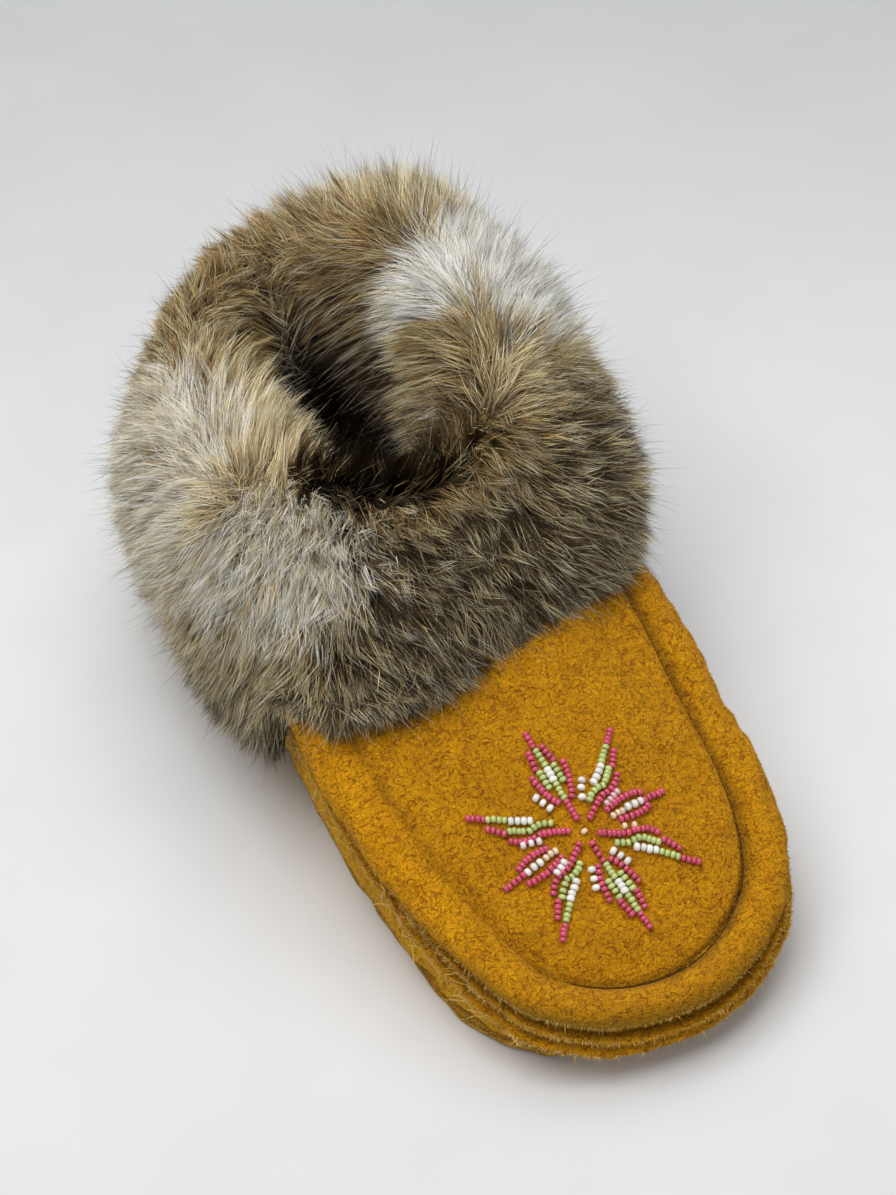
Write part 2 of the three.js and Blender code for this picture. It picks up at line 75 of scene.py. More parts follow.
SOLE = Sizes(length=245.0, thickness=3.0, edge=1.6)
INSOLE = Sizes(thickness=3.0, inset=3.0)
TOE_SPRING = Sizes(rise=3.0, start=0.84)
ARCH = Sizes(rise=2.2, middle=0.43, reach=0.13, outside=-10.0, inside=35.0)
TOE_SWING = 0.5
HEEL_SWING = Sizes(side=6.0, end=0.65, bend=1.5)
WALL = 2.0
GAP = 0.3
COLLAR = Sizes(x=65.0, y=6.0, length=57.0, width=37.0)
COLLAR_HEIGHT = Sizes(back=74.0, side=66.0, front=71.0)
VAMP = Sizes(thickness=1.2, crown=3.0, edge=0.8, end=0.72)
ROLL = Sizes(level=1.5, rise=4.9, overhang=3.0, fullness=0.75)
WELT = Sizes(level=0.9, below=1.2, height=5.0, rise=2.6)
CUFF_LINING = Sizes(flare=1.0, below=4.0, above=8.0, lip_out=3.0, lip_below=5.0)
CUFF_SHOULDER = 11.0
STAR = Sizes(x=203.0, y=-2.9)
SEAM_REACH = np.radians(85.0)  # each way from the toe, to an end under the cuff
SLOPE_STEP = 1e-3  # of turn or level, over which a surface's slope is taken
TINY = 1e-6  # keeps a direction from having no length
UP = np.array([0.0, 0.0, 1.0])
METRE = 1000  # in millimetres
MILLIMETRE = 0.001  # in metres
SEEDS = Sizes(nap=21, fray=22, thread=23, star=24, fur=41, guard_hairs=42)

FOOT_LINE = table(
    "at lateral medial",
    (0.06, 23, 23),
    (0.15, 31, 31),
    (0.30, 35, 34),
    (0.45, 40, 38.5),
    (0.60, 44, 46.8),
    (0.75, 45.4, 44.3),
    (0.87, 43.6, 40.5),
    (0.95, 33.2, 29.8),
)

WALL_LINE = table(
    "at wall_top seam_top wall_out seam_out belly",
    (0.00, 46, 58, -1, -4, 5),
    (0.25, 44, 55, 0, -2, 5.5),
    (0.45, 47, 58, 2.5, -3, 5.5),
    (0.56, 46, 57.5, 4, -4, 5),
    (0.65, 38.8, 50.5, 4, -4, 5),
    (0.82, 25.2, 34, 4, -4, 5),
    (1.00, 15, 19.5, 3.5, -4, 3.2),
)

# How far the groove under the roll and the vamp seam are drawn in on the little-toe side, by
# degrees from the toe
LATERAL_TUCK = table(
    "angle groove seam",
    (0, 0, 0),
    (15, 0.5, 0.5),
    (25, 2.2, 2.2),
    (33, 4.3, 4),
    (45, 5.8, 4.2),
    (55, 4.2, 0.8),
    (67, 1, -2),
    (80, 0, -2.5),
    (95, 0, 0),
)

# The cuff by angle round the collar, from the toe towards the big-toe side
CUFF = table(
    "angle crest crest_out inside shoulder belly belly_top hem hem_top",
    (0, 96, 1, 9.5, 71, 85, 74, 88, 54),
    (32, 105, 4, 10.5, 71, 87, 74, 87, 52),
    (60, 111, 5, 13, 62, 77, 66, 69, 32),
    (90, 114, 6, 14, 59, 68, 64, 56, 27),
    (135, 112, 5, 13, 64, 73, 62, 61, 26),
    (180, 101, 4, 11, 72, 79, 57, 72, 27),
    (225, 92, 6, 13, 63, 70, 54, 62, 25),
    (270, 88, 8, 14, 59, 67, 52, 59, 23),
    (300, 90, 7, 13, 67, 78, 54, 73, 25),
    (330, 93, 3, 10, 76, 98, 62, 99, 45),
)

# Creases of the suede: turn from the toe in degrees (little-toe side positive), level on the
# upper, slant off the level line in degrees, length, width and depth (below zero is a ridge)
CREASES = table(
    "turn level slant length width depth",
    (0, 0.45, 80, 14, 2.2, 0.8),
    (11, 0.42, 96, 13, 2.4, 0.9),
    (-12, 0.5, 74, 13, 2.2, 0.8),
    (24, 0.45, 100, 16, 2.8, 1.0),
    (-26, 0.42, 82, 16, 2.6, 0.9),
    (38, 0.5, 78, 20, 3.2, 1.2),
    (-41, 0.48, 104, 20, 3.2, 1.1),
    (50, 0.4, 98, 24, 4.0, 1.3),
    (-55, 0.45, 84, 24, 4.0, 1.3),
    (62, 0.55, 70, 28, 4.5, 1.4),
    (-68, 0.5, 102, 30, 4.5, 1.4),
    (30, 0.72, 4, 44, 3.0, 0.8),
    (-34, 0.7, -5, 46, 3.0, 0.8),
    (62, 2.35, 40, 52, 7.0, 0.9),
    (-60, 2.35, -34, 50, 7.0, 0.9),
    (35, 2.12, 10, 40, 5.0, -0.5),
    (-30, 2.1, -8, 44, 5.0, -0.5),
    (5, 2.22, 0, 60, 8.0, 0.7),
    (-74, 2.45, 60, 40, 7.0, -0.7),
    (74, 2.45, -60, 40, 7.0, -0.7),
)


# Shape of the last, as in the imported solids

def along(columns, key, column, value):
    """A column's value on the smooth curve through a table's rows, level beyond the ends."""
    keys, values = columns[key], columns[column]
    last = len(keys) - 1
    order = np.arange(last + 1)
    ahead, behind = np.minimum(order + 1, last), np.maximum(order - 1, 0)
    slopes = (values[ahead] - values[behind]) / (keys[ahead] - keys[behind])
    wanted = np.clip(value, keys[0], keys[-1])
    i = np.clip(np.searchsorted(keys, wanted, side="right") - 1, 0, last - 1)
    span = keys[i + 1] - keys[i]
    share = (wanted - keys[i]) / span
    rise = values[i + 1] - values[i]
    leaving = (1 - share) * (slopes[i] * span - rise)
    arriving = share * (slopes[i + 1] * span - rise)
    return values[i] + rise * share + share * (1 - share) * (leaving - arriving)


def smoothstep(value, start, end):
    share = np.clip((value - start) / (end - start), 0, 1)
    return share * share * (3 - 2 * share)


def unit(vectors):
    return vectors / np.linalg.norm(vectors, axis=-1, keepdims=True)


def bell(value, width):
    """A soft bump of height 1 round zero, that falls away over a width."""
    return np.exp(-((value / width) ** 2))


def foot_point(turn):
    """The foot of the wall. Turn 0 is the heel and pi the toe, by way of the little-toe side."""
    at = (1 - np.cos(turn)) / 2
    oval = 2 * np.sqrt(FOOT_LINE["at"] * (1 - FOOT_LINE["at"]))
    full = {"at": FOOT_LINE["at"]}
    for side in ("lateral", "medial"):
        full[side] = FOOT_LINE[side] / oval
    lateral = along(full, "at", "lateral", at)
    medial = along(full, "at", "medial", at)
    width = np.where(np.sin(turn) >= 0, lateral, medial)
    heelwards = np.clip(1 - at / HEEL_SWING.end, 0, 1)
    middle = TOE_SWING * at**2 + HEEL_SWING.side * heelwards**HEEL_SWING.bend
    return np.stack([SOLE.length * at, middle - width * np.sin(turn), 0 * at], -1)


def foot_normal(turn):
    way = foot_point(turn + SLOPE_STEP) - foot_point(turn - SLOPE_STEP)
    return unit(np.stack([way[..., 1], -way[..., 0], 0 * turn], -1))


def sole_lift(x, y):
    """Height of the sole's underside over the floor."""
    at = x / SOLE.length
    toe = TOE_SPRING.rise * smoothstep(at, TOE_SPRING.start, 1)
    waist = 1 - smoothstep(np.abs(at - ARCH.middle), 0, ARCH.reach)
    return toe + ARCH.rise * waist * smoothstep(y, ARCH.outside, ARCH.inside)


def collar_point(angle):
    ahead, aside = np.cos(angle), np.sin(angle)
    radius = 1 / np.hypot(ahead / COLLAR.length, aside / COLLAR.width)
    end = np.where(ahead > 0, COLLAR_HEIGHT.front, COLLAR_HEIGHT.back)
    height = COLLAR_HEIGHT.side + (end - COLLAR_HEIGHT.side) * ahead**2
    return np.stack([COLLAR.x + radius * ahead, COLLAR.y + radius * aside, height], -1)


def collar_angle(spots):
    """Angles of spots round the collar's middle."""
    return np.arctan2(spots[..., 1] - COLLAR.y, spots[..., 0] - COLLAR.x)


def upper_point(turn, level):
    """The upper's outside. Levels 0 to 1 are the wall, to 2 the slope, to 3 the top."""
    turn, level = np.broadcast_arrays(np.asarray(turn, float), np.asarray(level, float))
    foot = foot_point(turn)
    at = np.clip(foot[..., 0] / SOLE.length, 0, 1)
    value = {column: along(WALL_LINE, "at", column, at) for column in WALL_LINE}
    wall, slope, top = (np.clip(level - step, 0, 1) for step in range(3))
    base = sole_lift(foot[..., 0], foot[..., 1]) + SOLE.thickness + GAP
    from_toe = np.degrees(np.pi - turn)
    groove_out = value["wall_out"] - along(LATERAL_TUCK, "angle", "groove", from_toe)
    seam_out = value["seam_out"] - along(LATERAL_TUCK, "angle", "seam", from_toe)
    bulge = groove_out * wall + value["belly"] * np.sin(np.pi * wall)
    out = bulge + (seam_out - groove_out) * slope
    rise = (value["wall_top"] - base) * wall + (value["seam_top"] - value["wall_top"]) * slope
    spot = foot + foot_normal(turn) * out[..., None]
    spot[..., 2] = base + rise
    angle = collar_angle(foot)
    spot = spot + (collar_point(angle) - spot) * top[..., None]
    spot[..., 2] += VAMP.crown * np.sin(np.pi * top) * np.clip(np.cos(angle), 0, 1)
    return spot


def upper_normal(turn, level):
    round_it = upper_point(turn + SLOPE_STEP, level) - upper_point(turn - SLOPE_STEP, level)
    above, below = np.minimum(level + SLOPE_STEP, 3), np.maximum(level - SLOPE_STEP, 0)
    up = upper_point(turn, above) - upper_point(turn, below)
    return unit(np.cross(round_it, up))


def crease_table():
    """Each crease's middle, the way it runs and the way across it, on the upper's surface."""
    turn = np.pi - np.radians(CREASES["turn"])
    level = CREASES["level"]
    middle = upper_point(turn, level)
    normal = upper_normal(turn, level)
    ahead = upper_point(turn - SLOPE_STEP, level)
    round_it = unit(ahead - upper_point(turn + SLOPE_STEP, level))
    up = np.cross(normal, round_it)
    slant = np.radians(CREASES["slant"])[:, None]
    way = round_it * np.cos(slant) + up * np.sin(slant)
    return middle, way, np.cross(normal, way)


CREASE_LINES = crease_table()

BANK = Sizes(height=0.45, width=2.2)  # the low banks of a crease, against its trough
CREASE_DEPTH = 1.6  # of a trough before its banks, against the table


def relief(spots):
    """How far the creases push the suede out (in, below zero) at these spots."""
    total = np.zeros(spots.shape[:-1])
    middles, ways, acrosses = CREASE_LINES
    rows = zip(middles, ways, acrosses, CREASES["length"], CREASES["width"], CREASES["depth"])
    for middle, way, across, length, width, depth in rows:
        apart = spots - middle
        aside = apart @ across
        run = np.clip(1 - (apart @ way / (length / 2)) ** 2, 0, 1) ** 2
        trough = bell(aside, width) - BANK.height * bell(aside, BANK.width * width)
        near = np.exp(-((np.sum(apart**2, -1) / length**2)))
        total -= depth * CREASE_DEPTH * trough * run * near
    return total


WAVES = Sizes(count=7, shortest=0.7, longest=1.6)  # lengths are shares of the size asked for

# Unevenness of the surfaces: waves of a height and a size in millimetres, with their seeds. On
# the roll and the welt the height is a share of their own, and on the fur it is a lean aside.
UNEVEN = {
    "wall": ((0.25, 17, 1), (0.12, 6, 2)),
    "lining": ((0.35, 5, 3),),
    "vamp": ((0.3, 26, 4), (0.1, 7, 5)),
    "roll": ((0.05, 14, 6), (0.03, 5, 7)),
    "welt": ((0.1, 7, 8), (0.06, 1.8, 9)),
    "sole": ((0.35, 9, 10),),
    "insole": ((0.5, 6, 11),),
    "fur": ((0.3, 30, 31), (0.2, 11, 32)),
}


def ripple(spots, size, seed):
    """A soft unevenness between about -1 and 1, with waves of that size in millimetres."""
    waves = np.random.default_rng(seed)
    total = np.zeros(spots.shape[:-1])
    for _ in range(WAVES.count):
        way = unit(waves.normal(size=3)) * 2 * np.pi
        way = way / (size * waves.uniform(WAVES.shortest, WAVES.longest))
        total += np.sin(spots @ way + waves.uniform(0, 2 * np.pi))
    return total / np.sqrt(WAVES.count)


def uneven(surface, spots):
    """A surface's own unevenness at these spots."""
    return sum(height * ripple(spots, size, seed) for height, size, seed in UNEVEN[surface])


def off_upper(turn, level, distance):
    """A point off the upper's outside. At the foot of the wall it moves level."""
    turn, level, distance = np.broadcast_arrays(turn, level, distance)
    normal = np.where(level[..., None] > 0, upper_normal(turn, level), foot_normal(turn))
    return upper_point(turn, level) + normal * distance[..., None]


# Meshes

OUTLINE = Sizes(first=0.06, stations=25)  # turns that the sole's plain outline is drawn through


def row_origin():
    """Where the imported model's origin lies in the shoe's own frame."""
    low, high = (np.array(corner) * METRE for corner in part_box("outsole"))
    turns = np.linspace(OUTLINE.first, np.pi - OUTLINE.first, OUTLINE.stations)
    both = np.concatenate([turns, 2 * np.pi - turns])
    edge = foot_point(both) + foot_normal(both) * SOLE.edge
    middle = (edge.min(0) + edge.max(0)) / 2 - (low + high) / 2
    return np.array([middle[0], middle[1], 0.0])


ORIGIN = row_origin()


def to_row(points):
    return (np.asarray(points, float) - ORIGIN) * MILLIMETRE


def add_object(name, data):
    """A new object in the scene."""
    item = bpy.data.objects.new(name, data)
    bpy.context.scene.collection.objects.link(item)
    return item


def make_piece(name, points, loops, starts, material, tint, uv, normals=None):
    """A mesh piece on the shoe, from flat arrays of corners and of each face's first corner."""
    mesh = bpy.data.meshes.new(name)
    mesh.vertices.add(len(points))
    mesh.vertices.foreach_set("co", to_row(points).astype(np.float32).ravel())
    mesh.loops.add(len(loops))
    mesh.loops.foreach_set("vertex_index", np.asarray(loops, np.int32))
    mesh.polygons.add(len(starts))
    mesh.polygons.foreach_set("loop_start", np.asarray(starts, np.int32))
    mesh.polygons.foreach_set("use_smooth", np.ones(len(starts), bool))
    colours = np.concatenate([tint, np.ones((len(tint), 1))], 1)
    layer = mesh.color_attributes.new("tint", "FLOAT_COLOR", "POINT")
    layer.data.foreach_set("color", colours.astype(np.float32).ravel())
    layer = mesh.uv_layers.new(name="OFBake")
    layer.uv.foreach_set("vector", uv[loops].astype(np.float32).ravel())
    mesh.update(calc_edges=True)
    if normals is not None:
        mesh.normals_split_custom_set_from_vertices(normals)
    mesh.materials.append(material)
    piece = add_object(name, mesh)
    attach(piece, "root")
    return piece


def grid_quads(rows, columns, first, wrapped):
    """Quads of a grid whose rows may close into a ring."""
    i = np.arange(rows if wrapped else rows - 1)
    j = np.arange(columns - 1)
    here, there = (i * columns)[:, None], (((i + 1) % rows) * columns)[:, None]
    return first + np.stack([here + j, there + j, there + j + 1, here + j + 1], -1).reshape(-1, 4)


MAP_MARGIN = 0.01  # round each half of a slab's bake map
CELL = Sizes(margin=0.15, width=0.7)  # of each small item on a shared bake map


def slab(name, over, under, material, wrapped=False, tint=1.0):
    """A closed piece between two grids of points, the first one outside and tinted."""
    rows, columns = over.shape[:2]
    size = rows * columns
    index = np.arange(size).reshape(rows, columns)
    if wrapped:
        edges = [np.append(index[:, 0], index[0, 0])[::-1], np.append(index[:, -1], index[0, -1])]
    else:
        edges = [np.concatenate([index[:, -1], index[-1, -2::-1], index[-2::-1, 0], index[0, 1:]])]
    rims = [np.stack([e[:-1], e[:-1] + size, e[1:] + size, e[1:]], -1) for e in edges]
    under_quads = grid_quads(rows, columns, size, wrapped)[:, ::-1]
    quads = np.concatenate([grid_quads(rows, columns, 0, wrapped), under_quads, *rims])
    points = np.concatenate([over.reshape(-1, 3), under.reshape(-1, 3)])
    if signed_volume(points, quads) < 0:
        quads = quads[:, ::-1]
    u = np.linspace(MAP_MARGIN, 1 - MAP_MARGIN, rows)
    v = np.linspace(MAP_MARGIN, 0.5 - MAP_MARGIN, columns)
    u, v = (values.ravel() for values in np.meshgrid(u, v, indexing="ij"))
    uv = np.stack([np.tile(u, 2), np.concatenate([v, v + 0.5])], -1)
    tints = np.ones((2, rows, columns, 3))
    tints[0] = tint
    starts = np.arange(len(quads)) * 4
    return make_piece(name, points, quads.ravel(), starts, material, tints.reshape(-1, 3), uv)


def signed_volume(points, quads):
    a, b, c, d = (points[quads[:, k]] for k in range(4))
    return np.sum(a * np.cross(b, c)) + np.sum(a * np.cross(c, d))


def cell_uv(count, inner):
    """A small cell of the bake map for each of many like items, which share an inner map."""
    side = int(np.ceil(np.sqrt(count)))
    cell = np.stack([np.arange(count) % side, np.arange(count) // side], -1)
    inner = CELL.margin + CELL.width * inner[None]
    return ((cell[:, None] + inner) / side).reshape(-1, 2)


def ribbons(name, spines, half_widths, sides, tints, material, facing=None):
    """Flat tapered strands along spines, joined in one piece. Tints are given at each station.

    Strands that are given a facing are lit as a surface that faces that way.
    """
    count, stations = spines.shape[:2]
    segments = stations - 1
    spread = sides[:, :-1] * half_widths[..., :-1, None]
    pairs = np.stack([spines[:, :-1] - spread, spines[:, :-1] + spread], 2)
    points = np.concatenate([pairs.reshape(count, -1, 3), spines[:, -1:]], 1)
    shades = np.concatenate([np.repeat(tints[:, :-1], 2, 1), tints[:, -1:]], 1)
    size = 2 * segments + 1
    pattern, first = [], []
    for k in range(segments - 1):
        first.append(len(pattern))
        pattern += [2 * k, 2 * k + 1, 2 * k + 3, 2 * k + 2]
    first.append(len(pattern))
    pattern += [size - 3, size - 2, size - 1]
    loops = (np.arange(count)[:, None] * size + pattern).ravel()
    starts = (np.arange(count)[:, None] * len(pattern) + first).ravel()
    height = np.append(np.repeat(np.arange(segments), 2), segments) / segments
    across = np.append(np.tile([0.0, 1.0], segments), 0.5)
    uv = cell_uv(count, np.stack([across, height], -1))
    normals = None if facing is None else np.repeat(facing, size, 0)
    points, shades = points.reshape(-1, 3), shades.reshape(-1, 3)
    return make_piece(name, points, loops, starts, material, shades, uv, normals)


def grow(roots, normals, flows, lengths, lean_root, lean_tip, sway, droop, stations):
    """Spines of hairs that rise off a surface and lie over along their flow."""
    aside = np.cross(normals, flows)
    share = (np.arange(stations - 1) + 0.5) / (stations - 1)
    lean = lean_root[:, None] + (lean_tip - lean_root)[:, None] * share
    ways = normals[:, None] * np.cos(lean)[..., None] + flows[:, None] * np.sin(lean)[..., None]
    ways = ways + aside[:, None] * (sway[:, None] * share)[..., None]
    ways[..., 2] -= droop[:, None] * share
    steps = unit(ways) * (lengths / (stations - 1))[:, None, None]
    return np.concatenate([roots[:, None], roots[:, None] + np.cumsum(steps, 1)], 1)


def ribbon_sides(spines, normals, twist):
    """Directions across strands: along the surface, turned about the strand by a twist."""
    ways = unit(np.gradient(spines, axis=1))
    flat = unit(np.cross(ways, normals[:, None]) + TINY)
    lifted = np.cross(flat, ways)
    return flat * np.cos(twist)[:, None, None] + lifted * np.sin(twist)[:, None, None]


# Colours and materials

def srgb(red, green, blue):
    """A colour given as it looks on a screen, from 0 to 255, as linear light."""
    shares = np.array([red, green, blue]) / 255
    return np.where(shares <= 0.04045, shares / 12.92, ((shares + 0.055) / 1.055) ** 2.4)


WHITE = srgb(255, 255, 255)


def set_inputs(node, values):
    for name, value in values.items():
        node.inputs[name].default_value = value


def new_material(name, roughness, specular=0.2):
    """A material with its node tree and its shader."""
    material = bpy.data.materials.new(name)
    material.use_nodes = True
    shader = material.node_tree.nodes["Principled BSDF"]
    set_inputs(shader, {"Roughness": roughness, "Specular IOR Level": specular})
    return material, material.node_tree, shader


def noise(tree, size, detail, roughness=0.6, distortion=0.0, stretch=(1, 1, 1)):
    """A noise whose features have that size in millimetres."""
    place = tree.nodes.new("ShaderNodeTexCoord")
    mapping = tree.nodes.new("ShaderNodeMapping")
    texture = tree.nodes.new("ShaderNodeTexNoise")
    set_inputs(mapping, {"Scale": stretch})
    set_inputs(texture, {"Scale": METRE / size, "Detail": detail})
    set_inputs(texture, {"Roughness": roughness, "Distortion": distortion})
    tree.links.new(place.outputs["Object"], mapping.inputs["Vector"])
    tree.links.new(mapping.outputs["Vector"], texture.inputs["Vector"])
    return texture.outputs["Fac"]


def ramp(tree, source, *stops):
    """A colour ramp with stops of place and linear colour."""
    node = tree.nodes.new("ShaderNodeValToRGB")
    elements = node.color_ramp.elements
    while len(elements) < len(stops):
        elements.new(0.5)
    for element, (place, colour) in zip(elements, stops):
        element.position = place
        element.color = (*colour, 1)
    tree.links.new(source, node.inputs["Fac"])
    return node.outputs["Color"]


def mixed(tree, blend, share, first, second):
    """Two colours mixed in a blend mode by a share, which may be a number or a socket."""
    node = tree.nodes.new("ShaderNodeMix")
    node.data_type = "RGBA"
    node.blend_type = blend
    if isinstance(share, float):
        node.inputs["Factor"].default_value = share
    else:
        tree.links.new(share, node.inputs["Factor"])
    tree.links.new(first, node.inputs["A"])
    tree.links.new(second, node.inputs["B"])
    return node.outputs["Result"]


def bumped(tree, shader, *layers):
    """Bumps one over the other, each a height socket with its strength and depth in metres."""
    last = None
    for height, strength, depth in layers:
        node = tree.nodes.new("ShaderNodeBump")
        set_inputs(node, {"Strength": strength, "Distance": depth})
        tree.links.new(height, node.inputs["Height"])
        if last is not None:
            tree.links.new(last, node.inputs["Normal"])
        last = node.outputs["Normal"]
    tree.links.new(last, shader.inputs["Normal"])


def corner_tint(tree):
    """The colour that comes with the piece's corners."""
    colour = tree.nodes.new("ShaderNodeVertexColor")
    colour.layer_name = "tint"
    return colour.outputs["Color"]


# Sizes in millimetres of what shows in the suede, the fleece, the pelt and the floor's paper
GRAIN = Sizes(patches=8, nap=0.8, folds=2.9, broken=2.2, fibres=0.4)
FLEECE_CURLS = 2.4
PELT_WOOL = 1.2
PAPER_CLOUDS = 60
FOLD_STRETCH = (1.3, 0.85, 1.2)  # of the folds along each axis
SUEDE_SHEEN = {
    "Sheen Weight": 0.28,
    "Sheen Roughness": 0.45,
    "Sheen Tint": (*srgb(240, 200, 100), 1),
}


def suede_material(name, dark, middle, light):
    """Napped suede with short strokes, and with small wrinkles that come and go, their folds
    darkened by painted shade.
    """
    material, tree, shader = new_material(name, roughness=0.95)
    patches = noise(tree, GRAIN.patches, detail=2)
    nap = noise(tree, GRAIN.nap, detail=3, roughness=0.65, distortion=0.4)
    folds = noise(tree, GRAIN.folds, detail=1, roughness=0.5, distortion=0.9, stretch=FOLD_STRETCH)
    broken = noise(tree, GRAIN.broken, detail=1)
    fibres = noise(tree, GRAIN.fibres, detail=2, roughness=0.7)
    # painted shade: the colour darkens along the small wrinkles' folds, over their bump
    fold_shade = srgb(206, 184, 146)
    base = ramp(tree, nap, (0.24, dark), (0.5, middle), (0.76, light))
    broad = ramp(tree, patches, (0.34, srgb(234, 226, 212)), (0.62, WHITE))
    wrinkles = ramp(tree, folds, (0.45, WHITE), (0.488, fold_shade), (0.512, fold_shade), (0.55, WHITE))
    shown = ramp(tree, broken, (0.42, srgb(10, 10, 10)), (0.58, WHITE))
    colour = mixed(tree, "MULTIPLY", 0.85, base, broad)
    colour = mixed(tree, "MULTIPLY", shown, colour, wrinkles)
    colour = mixed(tree, "MULTIPLY", 1.0, colour, corner_tint(tree))
    tree.links.new(colour, shader.inputs["Base Color"])
    set_inputs(shader, SUEDE_SHEEN)
    bumped(
        tree,
        shader,
        (patches, 0.3, 0.0015),
        (wrinkles, 0.9, 0.0008),
        (nap, 1.0, 0.0012),
        (fibres, 0.5, 0.0003),
    )
    return material


def tinted_material(name, roughness, specular, coat=None):
    """A material whose colour comes with the piece's corners, with a glossy coat if given one."""
    material, tree, shader = new_material(name, roughness, specular)
    set_inputs(shader, coat or {})
    tree.links.new(corner_tint(tree), shader.inputs["Base Color"])
    return material


def fleece_material(name, dark, light):
    material, tree, shader = new_material(name, roughness=1.0)
    curls = noise(tree, FLEECE_CURLS, detail=3, roughness=0.6, distortion=1.2)
    tree.links.new(ramp(tree, curls, (0.35, dark), (0.65, light)), shader.inputs["Base Color"])
    bumped(tree, shader, (curls, 0.9, 0.0016))
    return material


def pelt_material():
    material, tree, shader = new_material("pelt", roughness=1.0)
    wool = noise(tree, PELT_WOOL, detail=4, roughness=0.7, distortion=0.8)
    curls = ramp(tree, wool, (0.3, srgb(150, 145, 138)), (0.7, WHITE))
    colour = mixed(tree, "MULTIPLY", 1.0, corner_tint(tree), curls)
    tree.links.new(colour, shader.inputs["Base Color"])
    bumped(tree, shader, (wool, 1.0, 0.0015))
    return material


GLOSS = {"Coat Weight": 0.6, "Coat Roughness": 0.06}

SUEDE = suede_material("suede", srgb(184, 119, 2), srgb(230, 160, 5), srgb(244, 178, 20))
SOLE_TONES = (srgb(174, 122, 28), srgb(222, 168, 58), srgb(242, 202, 110))
SOLE_SUEDE = suede_material("sole_suede", *SOLE_TONES)
FLEECE = fleece_material("fleece", srgb(104, 98, 82), srgb(186, 176, 152))
LINING = fleece_material("lining", srgb(66, 57, 44), srgb(124, 108, 84))
PELT = pelt_material()
HAIR = tinted_material("hair", roughness=0.6, specular=0.2)
NAP = tinted_material("nap", roughness=0.9, specular=0.15)
THREAD = tinted_material("thread", roughness=0.7, specular=0.25)
BEAD_GLASS = tinted_material("bead_glass", roughness=0.16, specular=0.5, coat=GLOSS)


# Suede pieces

def seam_turns(count):
    """Turns along the vamp's seam, from its end on the little-toe side to the other."""
    return np.linspace(np.pi - SEAM_REACH, np.pi + SEAM_REACH, count)


SEAM_TURNS = seam_turns(321)
RAW_EDGE = np.array([1.05, 1.2, 2.4])  # the suede's tint on a raw edge
RUBBED = np.array([1.08, 1.22, 1.3])  # and on the wall, which is rubbed paler
# The roll's fuzzy outer face: its olive colour, and a painted sheen that pales it
FUZZ_AND_SHEEN = np.array([-0.15, 0.06, 0.3])  # added to the suede's tint on the roll's outer face
STUFFING = 1.1  # how much fuller the roll's suede is than the plain solid

UPPER_GRID = Sizes(turns=360, wall=23, slope=5, top=15)
CREASES_END = Sizes(foot=0.12, rim=2.8)  # levels between which the wall's creases are whole
LINING_GRID = Sizes(turns=180, rows=12, foot=0.08, rim=2.96)
LINING_DEPTH = Sizes(over=0.15, under=1.3)  # inside the wall


def outside(turn, level):
    """The upper's outside with its creases, which die away at its two edges."""
    plain = upper_point(turn, level)
    level = np.broadcast_to(level, plain.shape[:-1])
    held = smoothstep(level, 0, CREASES_END.foot) * (1 - smoothstep(level, CREASES_END.rim, 3))
    return off_upper(turn, level, (relief(plain) + uneven("wall", plain)) * held)


def make_upper():
    turns = np.linspace(0, 2 * np.pi, UPPER_GRID.turns + 1)[:-1, None]
    wall = np.linspace(0, 1, UPPER_GRID.wall)
    slope = np.linspace(1, 2, UPPER_GRID.slope)[1:]
    top = np.linspace(2, 3, UPPER_GRID.top)[1:]
    levels = np.concatenate([wall, slope, top])[None]
    over = outside(turns, levels)
    under = off_upper(turns, levels, -WALL)
    under[:, -1, 2] = np.minimum(under[:, -1, 2], over[:, -1, 2])
    piece = slab("upper_suede", over, under, SUEDE, wrapped=True, tint=RUBBED)
    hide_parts("upper")
    return over[:, : len(wall)]


def make_lining():
    turns = np.linspace(0, 2 * np.pi, LINING_GRID.turns + 1)[:-1, None]
    wall = np.linspace(LINING_GRID.foot, 1, LINING_GRID.rows)
    top = np.linspace(2, LINING_GRID.rim, LINING_GRID.rows)
    levels = np.concatenate([wall, top])[None]
    fluff = uneven("lining", upper_point(turns, levels))
    over = off_upper(turns, levels, -WALL - LINING_DEPTH.over)
    under = off_upper(turns, levels, -WALL - LINING_DEPTH.under + fluff)
    piece = slab("lining", over, under, LINING, wrapped=True)


# How sharp the seam between vamp and roll is, by degrees from the toe: soft on the little-toe side
SEAM_SHARP = table("angle depth", (-85, 1), (-8, 1), (22, 0.45), (50, 0))
SEAM_DIP = Sizes(sharp=1.15, sharp_width=1.1, soft=0.9, soft_width=4.5)
# Painted shade along the vamp's seam: how dark and how wide, where the seam is sharp and where it
# is soft
SEAM_PAINTED_SHADE = Sizes(sharp=0.6, sharp_width=0.9, soft=0.2, soft_width=3.0)
VAMP_SHOULDER = Sizes(rise=0.9, from_seam=8.0, width=6.0)
VAMP_GRID = Sizes(shares=48, crowded=1.5)  # crowded towards the seam
SEAM_HOLD = 4.0  # over which the seam holds the vamp's creases down


def seam_depth(turn):
    return np.interp(np.pi - turn, np.radians(SEAM_SHARP["angle"]), SEAM_SHARP["depth"])


def vamp_run(turn):
    """The vamp's length from the seam to the collar."""
    return np.linalg.norm(upper_point(turn, 3.0) - upper_point(turn, 2.0), axis=-1)


def seam_mark(mark, turn, inwards):
    """A mark along the seam, narrow where the seam is sharp and wide where it is soft."""
    depth = seam_depth(turn)
    sharp = mark.sharp * depth * bell(inwards, mark.sharp_width)
    return sharp + mark.soft * (1 - depth) * bell(inwards, mark.soft_width)


def from_seam(turn, share):
    """Distance over the vamp from its edge at the seam."""
    return share * vamp_run(turn) - VAMP.edge


